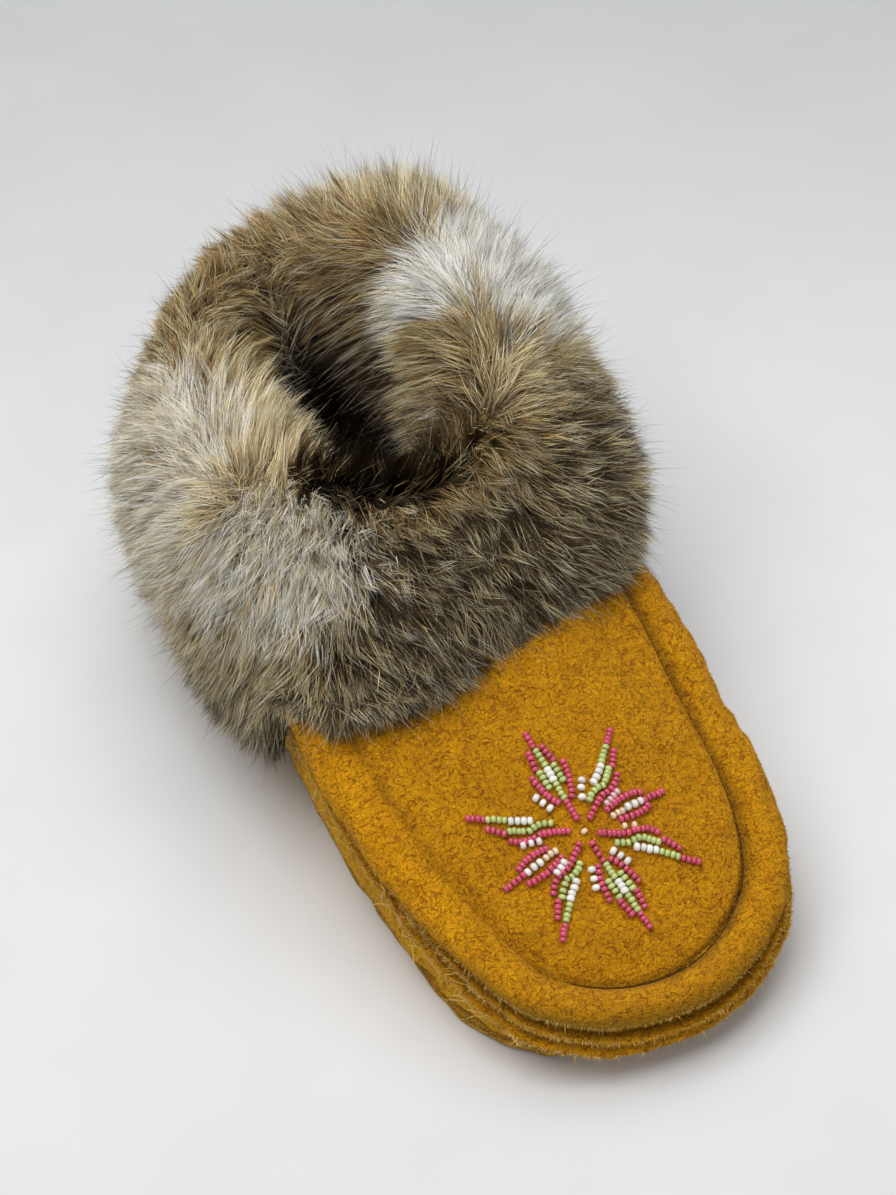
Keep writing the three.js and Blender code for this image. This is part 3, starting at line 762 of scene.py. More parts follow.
def vamp_surface(turn, share):
    """The vamp's top: a panel that dips into the seam round its edge."""
    plain = upper_point(turn, 2 + share)
    inwards = from_seam(turn, share)
    shoulder = VAMP_SHOULDER.rise * bell(inwards - VAMP_SHOULDER.from_seam, VAMP_SHOULDER.width)
    dip = seam_mark(SEAM_DIP, turn, inwards) - shoulder
    swell = relief(plain) + uneven("vamp", plain)
    held = 1 - np.exp(-np.maximum(inwards, 0) / SEAM_HOLD)
    return off_upper(turn, 2 + share, GAP + VAMP.thickness + swell * held - dip)


def make_vamp():
    turns = SEAM_TURNS[:, None]
    edge = VAMP.edge * seam_depth(turns) / vamp_run(turns)
    steps = np.linspace(0, 1, VAMP_GRID.shares)[None] ** VAMP_GRID.crowded
    shares = edge + (VAMP.end - edge) * steps
    over = vamp_surface(turns, shares)
    # painted shade: the vamp is tinted darker along the seam
    tint = 1 - seam_mark(SEAM_PAINTED_SHADE, turns, from_seam(turns, shares))[..., None]
    piece = slab("vamp_suede", over, off_upper(turns, 2 + shares, GAP), SUEDE, tint=tint)
    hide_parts("vamp")
    return over


# The roll's section runs in radians from the seam, at 0, over its crest to the groove, at pi.
# Lateral places are in degrees from the toe to the little-toe side.
ROLL_STATIONS = 25
ROLL_SOFT = Sizes(seam=0.6, flat=0.4, flat_start=45, flat_end=70, groove=0.35)
# Painted light on the roll's suede: shade in the seam and the groove, a highlight along the crest,
# and shade on the outer face round the toe
ROLL_SEAM_SHADE = Sizes(shade=0.6, width=0.2)
ROLL_GROOVE_SHADE = Sizes(shade=0.2, lateral_shade=0.3, start=-45, end=-5, width=0.25)
ROLL_CREST_HIGHLIGHT = Sizes(light=0.08, lateral_light=0.14, start=20, end=50, at=0.95, width=0.5)
ROLL_TOE_SHADE = Sizes(shade=0.42, reach=35, start=0.4, end=1.8)
ROLL_OUTER = Sizes(start=1.6, end=2.7)


def roll_fuzz_and_painted_light(turns, angles):
    """The roll's tint: painted highlight on the crest, painted shade in seam, groove and round the
    toe, and olive fuzz with painted sheen outside.
    """
    lateral = np.degrees(np.pi - turns)
    seam_painted_shade = bell(angles, ROLL_SEAM_SHADE.width) * seam_depth(turns)
    groove_painted_shade = bell(np.pi - angles, ROLL_GROOVE_SHADE.width)
    crest = bell(angles - ROLL_CREST_HIGHLIGHT.at, ROLL_CREST_HIGHLIGHT.width)
    outer = smoothstep(angles, ROLL_OUTER.start, ROLL_OUTER.end) + 0 * turns
    front = bell(lateral, ROLL_TOE_SHADE.reach)
    front = front * smoothstep(angles, ROLL_TOE_SHADE.start, ROLL_TOE_SHADE.end)
    aside = smoothstep(lateral, ROLL_CREST_HIGHLIGHT.start, ROLL_CREST_HIGHLIGHT.end)
    light = 1 + (ROLL_CREST_HIGHLIGHT.light + ROLL_CREST_HIGHLIGHT.lateral_light * aside) * crest
    light = light - ROLL_TOE_SHADE.shade * front - ROLL_SEAM_SHADE.shade * seam_painted_shade
    aside = smoothstep(lateral, ROLL_GROOVE_SHADE.start, ROLL_GROOVE_SHADE.end)
    light = light - (ROLL_GROOVE_SHADE.shade + ROLL_GROOVE_SHADE.lateral_shade * aside) * groove_painted_shade
    return (1 + outer[..., None] * FUZZ_AND_SHEEN) * light[..., None]


def make_roll():
    """The stuffed roll, from the seam over its crest to the groove above the welt."""
    turns = SEAM_TURNS[:, None]
    angles = np.linspace(0, np.pi, ROLL_STATIONS)[None]
    seam = off_upper(turns, 2.0, 2 * GAP)
    groove = off_upper(turns, 1.0, 2 * GAP)
    middle, across = (seam + groove) / 2, (seam - groove) / 2
    rise = upper_normal(turns, ROLL.level) * ROLL.rise
    bulge = (rise + foot_normal(turns) * ROLL.overhang) * STUFFING
    base = middle + across * np.cos(angles)[..., None]
    lateral = np.degrees(np.pi - turns)
    flat = smoothstep(lateral, ROLL_SOFT.flat_start, ROLL_SOFT.flat_end)
    shallow = ROLL_SOFT.seam * (1 - seam_depth(turns)) + ROLL_SOFT.flat * flat
    softened = np.where(angles < np.pi / 2, shallow, ROLL_SOFT.groove)
    full = base + bulge * (np.sin(angles) ** (ROLL.fullness + softened))[..., None]
    over = full + bulge * (uneven("roll", full) * np.sin(angles))[..., None]
    piece = slab("roll_suede", over, base, SUEDE, tint=roll_fuzz_and_painted_light(turns, angles))
    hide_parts("vamp_roll")
    return over


def welt_spot(turn, share, distance):
    """A spot on the welt's strip of wall, from its upper edge to its lower one."""
    height = upper_point(turn, 1.0)[..., 2] - upper_point(turn, 0.0)[..., 2]
    level = 1 - (WELT.below + WELT.height * share) / height
    return off_upper(turn, level, distance)


# The welt's two lips and their raw edges, by share of its width from the upper edge down
WELT_GRID = Sizes(turns=481, shares=19)
LIPS = table("at width height", (0.27, 0.17, 0.9), (0.76, 0.16, 1.0))
RAW_LINES = table("at width height", (0.3, 0.07, 0.8), (0.8, 0.07, 0.8))
WELT_BODY = Sizes(base=0.2, sunk=0.2, ends=0.07, lift=0.02)
WELT_PAINTED_SHADE = Sizes(slit=0.5, lips=0.45)


def bells(rows, value):
    """Bumps of a table's places, widths and heights, added up."""
    bumps = zip(rows["at"], rows["width"], rows["height"])
    return sum(height * bell(value - at, width) for at, width, height in bumps)


def make_welt():
    """The seam's two raw edges of suede, pressed together, with a slit between them."""
    turns = seam_turns(WELT_GRID.turns)[:, None]
    shares = np.linspace(0, 1, WELT_GRID.shares)[None]
    lips = bells(LIPS, shares)
    frayed = 1 + uneven("welt", upper_point(turns, WELT.level))
    rise = WELT_BODY.base + WELT.rise * lips * frayed
    ends = np.clip(np.minimum(shares, 1 - shares) / WELT_BODY.ends, 0, 1)
    over = welt_spot(turns, shares, GAP + rise * ends + WELT_BODY.lift)
    raw = bells(RAW_LINES, shares)[..., None]
    # painted shade: the slit between the lips is tinted darker than the lips
    body = WELT_PAINTED_SHADE.slit + WELT_PAINTED_SHADE.lips * np.clip(lips, 0, 1)[..., None]
    tint = (1 - raw) * body + raw * RAW_EDGE
    under = welt_spot(turns, shares, np.full_like(rise, GAP - WELT_BODY.sunk))
    piece = slab("welt_suede", over, under, SUEDE, tint=np.broadcast_to(tint, over.shape))
    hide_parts("seam_welt")
    return over


PLATE_GRID = Sizes(tip=0.012, turns=161, shares=25)
UNDER_ROUND = 0.6  # of a plate's lower edge, against its upper one


def plate(outset, bottom, top, edge_round, ragged):
    """Two grids of a flat piece under the foot, with rounded edges."""
    turns = np.linspace(PLATE_GRID.tip, np.pi - PLATE_GRID.tip, PLATE_GRID.turns)[:, None]
    shares = (1 - np.cos(np.linspace(0, np.pi, PLATE_GRID.shares)))[None] / 2
    waves = uneven("sole", foot_point(turns)) if ragged else 0 * turns
    lateral = foot_point(turns) + foot_normal(turns) * (outset + waves)[..., None]
    medial = foot_point(-turns) + foot_normal(-turns) * (outset + waves[::-1])[..., None]
    plan = lateral + (medial - lateral) * shares[..., None]
    inwards = np.minimum(shares, 1 - shares) * np.linalg.norm(medial - lateral, axis=-1)
    thin = edge_round * np.exp(-inwards / edge_round)
    lift = sole_lift(plan[..., 0], plan[..., 1])
    over, under = plan.copy(), plan.copy()
    over[..., 2] = lift + top - thin
    under[..., 2] = lift + bottom + thin * UNDER_ROUND
    return over, under


def make_soles():
    over, under = plate(SOLE.edge, 0, SOLE.thickness, edge_round=0.7, ragged=True)
    sole = slab("sole_suede", over, under, SOLE_SUEDE)
    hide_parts("outsole")
    base = SOLE.thickness + 2 * GAP
    top = base + INSOLE.thickness
    over, under = plate(-INSOLE.inset, base, top, edge_round=1.0, ragged=False)
    over[..., 2] += uneven("insole", over)
    insole = slab("insole_fleece", over, under, FLEECE)
    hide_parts("insole")


# Nap and loose threads of the suede

def scatter_on(grid, count, draw):
    """Random spots on a grid of points, even by area, with the surface's normals there."""
    a, b, c = grid[:-1, :-1], grid[1:, :-1], grid[:-1, 1:]
    cross = np.cross(b - a, c - a)
    area = np.linalg.norm(cross, axis=-1).ravel()
    cell = draw.choice(len(area), count, p=area / area.sum())
    i, j = np.unravel_index(cell, a.shape[:2])
    s, t = draw.random((2, count, 1))
    near = grid[i, j] * (1 - s) + grid[i + 1, j] * s
    far = grid[i, j + 1] * (1 - s) + grid[i + 1, j + 1] * s
    return near * (1 - t) + far * t, unit(cross.reshape(-1, 3)[cell])


SHOE_MIDDLE = np.array([150.0, 0.0, 5.0])  # a spot inside that all the suede faces away from
NAP_FIBRE = Sizes(shortest=0.4, longest=1.2, half_width=0.07, upright=0.5, laid=1.3)
NAP_COLOURS = (srgb(140, 90, 4), srgb(216, 158, 40))
NAP_COUNTS = (22000, 14000, 6000, 14000)  # on the vamp, roll, welt and wall


def make_nap(grids):
    """Short fibres that stand off the suede."""
    draw = np.random.default_rng(SEEDS.nap)
    spots, normals = [], []
    for grid, count in grids:
        spot, normal = scatter_on(grid, count, draw)
        inwards = np.sum(normal * (spot - SHOE_MIDDLE), -1) < 0
        normal[inwards] *= -1
        spots.append(spot)
        normals.append(normal)
    roots, normals = np.concatenate(spots), np.concatenate(normals)
    count = len(roots)
    flows = unit(np.cross(normals, draw.normal(size=(count, 3))))
    lengths = draw.uniform(NAP_FIBRE.shortest, NAP_FIBRE.longest, count)
    lean = draw.uniform(NAP_FIBRE.upright, NAP_FIBRE.laid, count)
    spines = grow(roots, normals, flows, lengths, lean, lean, 0 * lean, 0 * lean, 2)
    sides = ribbon_sides(spines, normals, draw.uniform(-1, 1, count))
    shade = draw.random((count, 1))
    tints = NAP_COLOURS[0] * (1 - shade) + NAP_COLOURS[1] * shade
    widths = np.broadcast_to([NAP_FIBRE.half_width, 0.0], (count, 2))
    piece = ribbons("suede_nap", spines, widths, sides, np.repeat(tints[:, None], 2, 1), NAP)


# Whiskers, stubs and threads of the raw edges: count, shortest and longest, half-width, stations,
# how far they lie along the seam, how they wave, and the pale colour's least share
FRAY = {
    "fray_fuzz": (9000, 0.5, 1.6, 0.07, 3, 0.4, 0.0, 0.15),
    "fray_stubs": (300, 1.2, 3.2, 0.11, 3, 0.1, 0.0, 0.5),
    "fray_threads": (150, 4.0, 9.0, 0.12, 11, 3.0, 0.5, 0.5),
}
FRAY_COLOURS = (srgb(178, 124, 18), srgb(238, 206, 122))
# Columns of the welt's grid at its raw edges, and of the roll's grid over the groove
RAW_COLUMNS = (slice(4, 7), slice(13, 16))
GROOVE_COLUMNS = slice(19, 22)
LOWER_EDGE = 14
# On the little-toe side, as shares of the seam: where fuzz mats, how much of it, and threads
MATTED = Sizes(reach=0.42, share=0.4, threads=0.36)
HANGING = 1.2  # how whiskers under the roll hang, against their own way
FLOOR_CLEARANCE = 0.4
SHORT_ONES = 1.7  # the power of chance that makes most of them short
FRAY_LEAN = Sizes(least=0.2, most=1.0, lying=0.15, bend=0.35, stray=0.3)
FRAY_STRAY = Sizes(sway=0.5, droop=0.4, twist=0.8, tip=0.5)
FRAY_BEAT = Sizes(slowest=5, fastest=13, start=6.3, aside=0.5, aside_pace=1.7)
PALEST_FRAY = 1.1


def make_fray(welt, roll):
    """Loose threads and whiskers along the welt's raw edges and under the roll."""
    draw = np.random.default_rng(SEEDS.fray)
    beside = np.round(np.linspace(0, len(roll) - 1, len(welt))).astype(int)
    raw = np.concatenate([welt[:, columns] for columns in RAW_COLUMNS], 1)
    edges = np.concatenate([raw, roll[beside, GROOVE_COLUMNS]], 1)
    on_welt = raw.shape[1]
    turns = seam_turns(len(welt))
    along_seam = unit(np.gradient(welt[:, LOWER_EDGE], axis=0))
    for name, row in FRAY.items():
        count, shortest, longest, width, stations, lying, wave, palest = row
        where = draw.random(count)
        matted = draw.random(count) < MATTED.share
        if wave:
            where = MATTED.threads * draw.beta(2, 2, count)
        else:
            where = np.where(matted, MATTED.reach * where, where)
        spot = (where * (len(welt) - 1)).astype(int)
        edge = draw.integers(0, on_welt if wave else edges.shape[1], count)
        roots = edges[spot, edge]
        out = foot_normal(turns)[spot]
        run = along_seam[spot] * np.where(draw.random(count) < 0.5, 1, -1)[:, None]
        hanging = np.where(edge < on_welt, 0.0, HANGING)[:, None] * -UP
        flows = unit(np.cross(out, draw.normal(size=(count, 3))) + lying * run + hanging)
        lengths = shortest + (longest - shortest) * draw.random(count) ** SHORT_ONES
        lean_root = draw.uniform(FRAY_LEAN.least, FRAY_LEAN.most, count)
        lean_root = lean_root + FRAY_LEAN.lying * lying
        lean_tip = lean_root + draw.normal(FRAY_LEAN.bend, FRAY_LEAN.stray, count)
        sway = draw.normal(0, FRAY_STRAY.sway, count)
        droop = draw.uniform(0, FRAY_STRAY.droop, count)
        spines = grow(roots, out, flows, lengths, lean_root, lean_tip, sway, droop, stations)
        place = np.linspace(0, 1, stations)[None]
        beat = draw.uniform(FRAY_BEAT.slowest, FRAY_BEAT.fastest, (count, 1)) * place
        beat = beat + draw.uniform(0, FRAY_BEAT.start, (count, 1))
        up = np.cross(flows, out)
        aside = FRAY_BEAT.aside * wave
        for height, pace, way in ((wave, 1.0, up), (aside, FRAY_BEAT.aside_pace, out)):
            spines = spines + (height * np.sin(pace * beat) * place**0.5)[..., None] * way[:, None]
        spines[..., 2] = np.maximum(spines[..., 2], FLOOR_CLEARANCE)
        twist = FRAY_STRAY.twist
        sides = ribbon_sides(spines, out, draw.uniform(-twist, twist, count))
        shade = palest + draw.uniform(0, PALEST_FRAY - palest, (count, 1, 1))
        tints = FRAY_COLOURS[0] * (1 - shade) + FRAY_COLOURS[1] * shade
        taper = width * np.linspace(1, FRAY_STRAY.tip, stations)
        widths = np.broadcast_to(taper, (count, stations))
        piece = ribbons(name, spines, widths, sides, np.repeat(tints, stations, 1), THREAD)


STITCH = Sizes(pitch=3.2, length=3.0, half_width=0.42, stations=7, first=0.5)
STITCH_HEIGHT = Sizes(sharp=0.95, sunk=0.25, stray=0.05)  # over the upper, at the seam
# The stitches' dark colour is partly the thread's own and partly painted shade of the seam's crease
STITCH_AND_SHADE_COLOUR = srgb(84, 48, 8)
FINE_SEAM = 4001  # turns that the seam's length is measured through


def travel(points):
    """Distances along a line of points from its first one."""
    return np.append(0, np.cumsum(np.linalg.norm(np.diff(points, axis=0), axis=1)))


def make_seam_thread():
    """Dark stitches that draw the vamp's edge down into the seam, laid almost end to end, partly
    thread and partly a painted shadow line in the crease.
    """
    draw = np.random.default_rng(SEEDS.thread)
    turns = seam_turns(FINE_SEAM)
    travelled = travel(upper_point(turns, 2.0))
    length, stations = STITCH.length, STITCH.stations
    first = np.arange(STITCH.first, travelled[-1] - length, STITCH.pitch)
    places = first[:, None] + np.linspace(0, length, stations)[None]
    turn = np.interp(places, travelled, turns)
    stray = draw.normal(0, STITCH_HEIGHT.stray, turn.shape)
    height = STITCH_HEIGHT.sharp * seam_depth(turn) - STITCH_HEIGHT.sunk + stray
    spines = off_upper(turn, 2.0, height)
    normals = upper_normal(turn, 2.0)[:, stations // 2]
    sides = ribbon_sides(spines, normals, np.zeros(len(first)))
    widths = np.broadcast_to(STITCH.half_width, (len(first), stations))
    tints = np.broadcast_to(STITCH_AND_SHADE_COLOUR, (len(first), stations, 3))
    piece = ribbons("seam_thread", spines, widths, sides, tints, THREAD)


# Beadwork

BEAD_COLOURS = {
    "pink": srgb(216, 78, 110),
    "pale_pink": srgb(240, 196, 196),
    "green": srgb(198, 216, 134),
    "white": srgb(250, 248, 240),
    "peach": srgb(246, 220, 184),
}
SMALL_BEAD = Sizes(radius=0.98, pitch=1.3)
LARGE_BEAD = Sizes(radius=1.14, pitch=1.6)
BEAD_RING = Sizes(turns=12, section=9, middle=0.55, thick=0.45, half_length=0.66)
BEAD_SEAT = 0.86  # a bead's middle over the vamp, against its radius
BEAD_STRAY = Sizes(place=0.06, turn=0.1, smallest=0.94, largest=1.05)
BEAD_TONE = Sizes(darkest=0.84, lightest=1.08)

# Rows of beads by kind of petal: colour, on how many sides, and places along the petal and aside
# in millimetres of a petal of the kind's length
PETAL_LENGTH = {"full": 27.0, "half": 27.0, "small": 24.0}
PETAL_ROWS = {
    "full": (
        ("pink", 1, (3.4, 0), (8.0, 0)),
        ("green", 1, (9.3, 0), (12.8, 0)),
        ("white", 1, (14.3, 0), (16.9, 0)),
        ("green", 1, (18.4, 0), (22.2, 0)),
        ("pink", 1, (23.5, 0), (27.0, 0)),
        ("green", 2, (13.0, 2.1), (17.3, 2.2)),
        ("pink", 2, (8.8, 2.0), (12.6, 3.9), (16.8, 4.7)),
        ("pink", 2, (18.5, 2.7), (22.4, 2.0)),
    ),
    "half": (
        ("pink", 1, (3.6, 0.5), (6.8, 1.2), (10.2, 2.2)),
        ("pink", 1, (11.4, 3.1), (14.0, 4.3), (16.8, 4.3)),
        ("green", 1, (7.9, -0.6), (10.6, 0.1), (12.6, 1.7)),
        ("green", 1, (14.0, 2.0), (17.2, 2.1)),
        ("white", 1, (12.5, -0.6), (16.9, 0)),
        ("green", 1, (18.4, 0), (22.2, 0)),
        ("pink", 1, (23.5, 0), (26.9, 0)),
        ("pink", 1, (18.4, 2.8), (22.2, 2.1)),
    ),
    "small": (
        ("pink", 1, (8.5, 1.9), (14.0, 2.8), (18.6, 2.2)),
        ("pink", 1, (10.4, -1.7), (15.0, -2.3), (18.6, -1.7)),
        ("white", 1, (13.6, 0.1), (17.4, 0.1)),
        ("pink", 1, (18.7, 0), (24.0, 0)),
        ("peach", 1, (8.9, 0), (11.8, 0)),
    ),
}

# Petals: direction from the star's middle in degrees, length, kind, and the side of its own rows
PETALS = (
    (182, 26.8, "full", 1),
    (135, 27.5, "half", -1),
    (93, 23.7, "small", 1),
    (53, 28.8, "half", 1),
    (6, 26.3, "full", 1),
    (317, 27.1, "half", -1),
    (277, 24.8, "small", 1),
    (237, 29.1, "half", 1),
)

# Bars between the petals: direction, first and last bead, how many and their colour
BARS = (
    (152, 8.4, 12.6, 3, "white"),
    (112, 9.6, 13.8, 4, "pale_pink"),
    (74, 10.6, 13.0, 2, "peach"),
    (31, 8.2, 12.2, 3, "white"),
    (341, 9.2, 13.6, 3, "white"),
    (297, 9.6, 12.8, 3, "white"),
    (257, 11.8, 16.0, 3, "white"),
    (210, 9.7, 13.8, 3, "white"),
)

HALVINGS = 40  # steps that close in on a point's turn


def on_vamp(x, y):
    """Turn and share of the vamp under points of the plan."""
    low = np.full_like(x, np.pi - SEAM_REACH)
    high = np.full_like(x, np.pi + SEAM_REACH)
    for _ in range(HALVINGS):
        middle = (low + high) / 2
        seam, rim = upper_point(middle, 2.0), upper_point(middle, 3.0)
        run = rim - seam
        lateral = run[..., 0] * (y - seam[..., 1]) - run[..., 1] * (x - seam[..., 0]) > 0
        high = np.where(lateral, middle, high)
        low = np.where(lateral, low, middle)
    seam = upper_point(low, 2.0)
    run = (upper_point(low, 3.0) - seam)[..., :2]
    apart = np.stack([x, y], -1) - seam[..., :2]
    return low, np.sum(apart * run, -1) / np.sum(run**2, -1)


def bead_size(colour):
    return LARGE_BEAD if colour == "white" else SMALL_BEAD


BEAD_ROW_STEPS = 101


def bead_row(points, count=None, pitch=1.0):
    """Plan places of beads, evenly spaced on the curve through two or three points."""
    start, *middle, end = np.array(points, float)
    halfway = middle[0] if middle else (start + end) / 2
    t = np.linspace(0, 1, BEAD_ROW_STEPS)[:, None]
    bend = 2 * halfway - (start + end) / 2
    curve = (1 - t) ** 2 * start + 2 * t * (1 - t) * bend + t**2 * end
    travelled = travel(curve)
    count = count or int(round(travelled[-1] / pitch)) + 1
    places = np.linspace(0, travelled[-1], count)
    return np.stack([np.interp(places, travelled, curve[:, k]) for k in range(2)], -1)


def bead_shape():
    """One seed bead of radius 1 round the X axis: a fat ring with a small hole."""
    turns_count, section_count = BEAD_RING.turns, BEAD_RING.section
    section = np.arange(section_count) * 2 * np.pi / section_count
    turns = np.arange(turns_count) * 2 * np.pi / turns_count
    radius = BEAD_RING.middle + BEAD_RING.thick * np.cos(section)
    place = BEAD_RING.half_length * np.sin(section)
    place = np.broadcast_to(place, (turns_count, section_count))
    points = np.stack([place, radius * np.cos(turns)[:, None], radius * np.sin(turns)[:, None]], -1)
    i, j = np.arange(turns_count)[:, None], np.arange(section_count)[None]
    ahead, aside = (i + 1) % turns_count, (j + 1) % section_count
    rings = [(i, j), (i, aside), (ahead, aside), (ahead, j)]
    quads = np.stack([a * section_count + b for a, b in rings], -1)
    return points.reshape(-1, 3), quads.reshape(-1, 4)


def make_beads(name, node, angle, rows, draw):
    """Beads of one petal or bar, joined, each lying on the vamp with its hole along its row."""
    ahead = np.array([np.cos(np.radians(angle)), np.sin(np.radians(angle))])
    aside = np.array([-ahead[1], ahead[0]])
    shape, quads = bead_shape()
    points, tints, corners = [], [], []
    for colour, local in rows:
        local = local + draw.normal(0, BEAD_STRAY.place, local.shape)
        plan = np.array([STAR.x, STAR.y]) + local[:, :1] * ahead + local[:, 1:] * aside
        turn, share = on_vamp(plan[:, 0], plan[:, 1])
        seat = vamp_surface(turn, share)
        normal = upper_normal(turn, 2 + share)
        ways = np.gradient(seat, axis=0) if len(seat) > 1 else np.array([[*ahead, 0.0]])
        ways = ways + draw.normal(0, BEAD_STRAY.turn, ways.shape)
        ways = unit(ways - np.sum(ways * normal, -1, keepdims=True) * normal)
        sides = np.cross(normal, ways)
        for k in range(len(seat)):
            radius = bead_size(colour).radius
            radius *= draw.uniform(BEAD_STRAY.smallest, BEAD_STRAY.largest)
            centre = seat[k] + normal[k] * radius * BEAD_SEAT
            corners.append(quads + len(shape) * len(points))
            points.append(centre + radius * shape @ np.stack([ways[k], sides[k], normal[k]]))
            tone = draw.uniform(BEAD_TONE.darkest, BEAD_TONE.lightest)
            tints.append(np.tile(BEAD_COLOURS[colour] * tone, (len(shape), 1)))
    quads = np.concatenate(corners)
    corner = np.linspace(0, 1, len(shape))
    inner = np.stack([corner, corner[::-1]], -1)
    uv = cell_uv(len(points), inner)
    starts = np.arange(len(quads)) * 4
    tint = np.clip(np.concatenate(tints), 0, 1)
    piece = make_piece(name, np.concatenate(points), quads.ravel(), starts, BEAD_GLASS, tint, uv)
    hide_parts(node)


def petal_rows(length, kind, side):
    """A petal's rows of beads: each one's colour and places."""
    scale = length / PETAL_LENGTH[kind]
    for colour, sides, *points in PETAL_ROWS[kind]:
        pitch = bead_size(colour).pitch
        for turned in (side, -side)[:sides]:
            yield colour, bead_row(np.array(points) * scale * [1, turned], pitch=pitch)


def make_star():
    draw = np.random.default_rng(SEEDS.star)
    for i, (angle, length, kind, side) in enumerate(PETALS, 1):
        rows = list(petal_rows(length, kind, side))
        make_beads(f"petal_{i}_beads", f"petal_{i}", angle, rows, draw)
    for i, (angle, start, end, count, colour) in enumerate(BARS, 1):
        rows = [(colour, bead_row(((start, 0), (end, 0)), count))]
        make_beads(f"bar_{i}_beads", f"bead_bar_{i}", angle, rows, draw)
    make_beads("middle_bead", "centre_bead", 0, [("peach", np.zeros((1, 2)))], draw)


# Fur cuff

CUFF_PLACES = 81
CUFF_ANGLES = 180
CUFF_FINE = 240  # steps along a profile of the cuff before it is divided evenly


def smooth_profile(knots):
    """Points on the smooth curves through rows of knots."""
    last = knots.shape[1] - 1
    t = np.linspace(0, last, CUFF_FINE + 1)
    i = np.minimum(t.astype(int), last - 1)
    s = (t - i)[None, :, None]
    before, here = knots[:, np.maximum(i - 1, 0)], knots[:, i]
    there, after = knots[:, i + 1], knots[:, np.minimum(i + 2, last)]
    leave, arrive = (there - before) / 2, (after - here) / 2
    profile = (2 * s**3 - 3 * s**2 + 1) * here + (s**3 - 2 * s**2 + s) * leave
    return profile + (3 * s**2 - 2 * s**3) * there + (s**3 - s**2) * arrive


def cuff_grid():
    """The cuff's outside as a grid of angles and places, and each angle's place of the crest."""
    degrees = np.arange(CUFF_ANGLES) * 360 / CUFF_ANGLES
    ring = {}
    for column, values in CUFF.items():
        step = 360 if column == "angle" else 0
        ring[column] = np.concatenate([values[-2:] - step, values, values[:2] + step])
    value = {column: along(ring, "angle", column, degrees) for column in CUFF}
    rim = collar_point(np.radians(degrees))
    collar = np.hypot(rim[:, 0] - COLLAR.x, rim[:, 1] - COLLAR.y)
    inside = collar - value["inside"]
    crest = value["crest"]
    radius = [inside + CUFF_LINING.flare, inside, inside + CUFF_LINING.lip_out]
    radius += [collar + value["crest_out"]]
    radius += [value["shoulder"], value["belly"], value["hem"]]
    height = [rim[:, 2] - CUFF_LINING.below, rim[:, 2] + CUFF_LINING.above]
    height += [crest - CUFF_LINING.lip_below, crest, crest - CUFF_SHOULDER]
    height += [value["belly_top"], value["hem_top"]]
    knots = np.stack([np.stack(radius, -1), np.stack(height, -1)], -1)
    profile = smooth_profile(knots)
    travelled = np.stack([travel(points) for points in profile])
    travelled /= travelled[:, -1:]
    places = np.linspace(0, 1, CUFF_PLACES)
    even = np.empty((CUFF_ANGLES, CUFF_PLACES, 2))
    for k in range(CUFF_ANGLES):
        for axis in range(2):
            even[k, :, axis] = np.interp(places, travelled[k], profile[k, :, axis])
    turn = np.radians(degrees)[:, None]
    x = COLLAR.x + even[..., 0] * np.cos(turn)
    y = COLLAR.y + even[..., 0] * np.sin(turn)
    return np.stack([x, y, even[..., 1]], -1), travelled[:, CUFF_FINE // 2]


def grid_frame(grid):
    """Unit directions on the cuff's grid: down its profile, round the collar, and outwards."""
    down = unit(np.gradient(grid, axis=1))
    wrapped = np.concatenate([grid[-1:], grid, grid[:1]])
    round_it = unit(wrapped[2:] - wrapped[:-2])
    return down, round_it, unit(np.cross(down, round_it))


def at_grid(values, degrees, place):
    """Values of the cuff's grid between its angles and places."""
    a = np.mod(degrees, 360) * CUFF_ANGLES / 360
    i = a.astype(int) % CUFF_ANGLES
    s = a - a.astype(int)
    if values.ndim == 1:
        return values[i] * (1 - s) + values[(i + 1) % CUFF_ANGLES] * s
    b = np.clip(place, 0, 1) * (CUFF_PLACES - 1)
    j = np.minimum(b.astype(int), CUFF_PLACES - 2)
    t = (b - j)[:, None]
    s = s[:, None]
    n = (i + 1) % CUFF_ANGLES
    near = values[i, j] * (1 - s) + values[n, j] * s
    far = values[i, j + 1] * (1 - s) + values[n, j + 1] * s
    return near * (1 - t) + far * t


# Coats of the fur: colours at the root, middle and tip of a hair
COATS = {
    "cream": (srgb(142, 129, 106), srgb(234, 219, 187), srgb(255, 247, 224)),
    "white": (srgb(234, 225, 205), srgb(255, 249, 231), srgb(255, 252, 238)),
    "tan": (srgb(118, 103, 82), srgb(206, 180, 134), srgb(240, 220, 178)),
    "brown": (srgb(48, 37, 22), srgb(120, 94, 54), srgb(180, 150, 98)),
    # the dark coat is partly the fur's own dark colour and partly painted shade of the opening
    "dark": (srgb(31, 25, 18), srgb(68, 53, 35), srgb(84, 67, 45)),
    "charcoal": (srgb(22, 17, 12), srgb(52, 42, 28), srgb(92, 75, 50)),
    "ticked": (srgb(40, 31, 21), srgb(178, 153, 101), srgb(255, 241, 190)),
    "slate": (srgb(105, 98, 92), srgb(140, 128, 112), srgb(170, 155, 130)),
}
COAT_NAMES = list(COATS)
COAT_COLOURS = np.array([COATS[name] for name in COAT_NAMES])
PALE_COATS = [COAT_NAMES.index(name) for name in ("cream", "white", "tan")]
PALE_TIPS = 0.4  # ticked hairs for each brown one where fur is brown

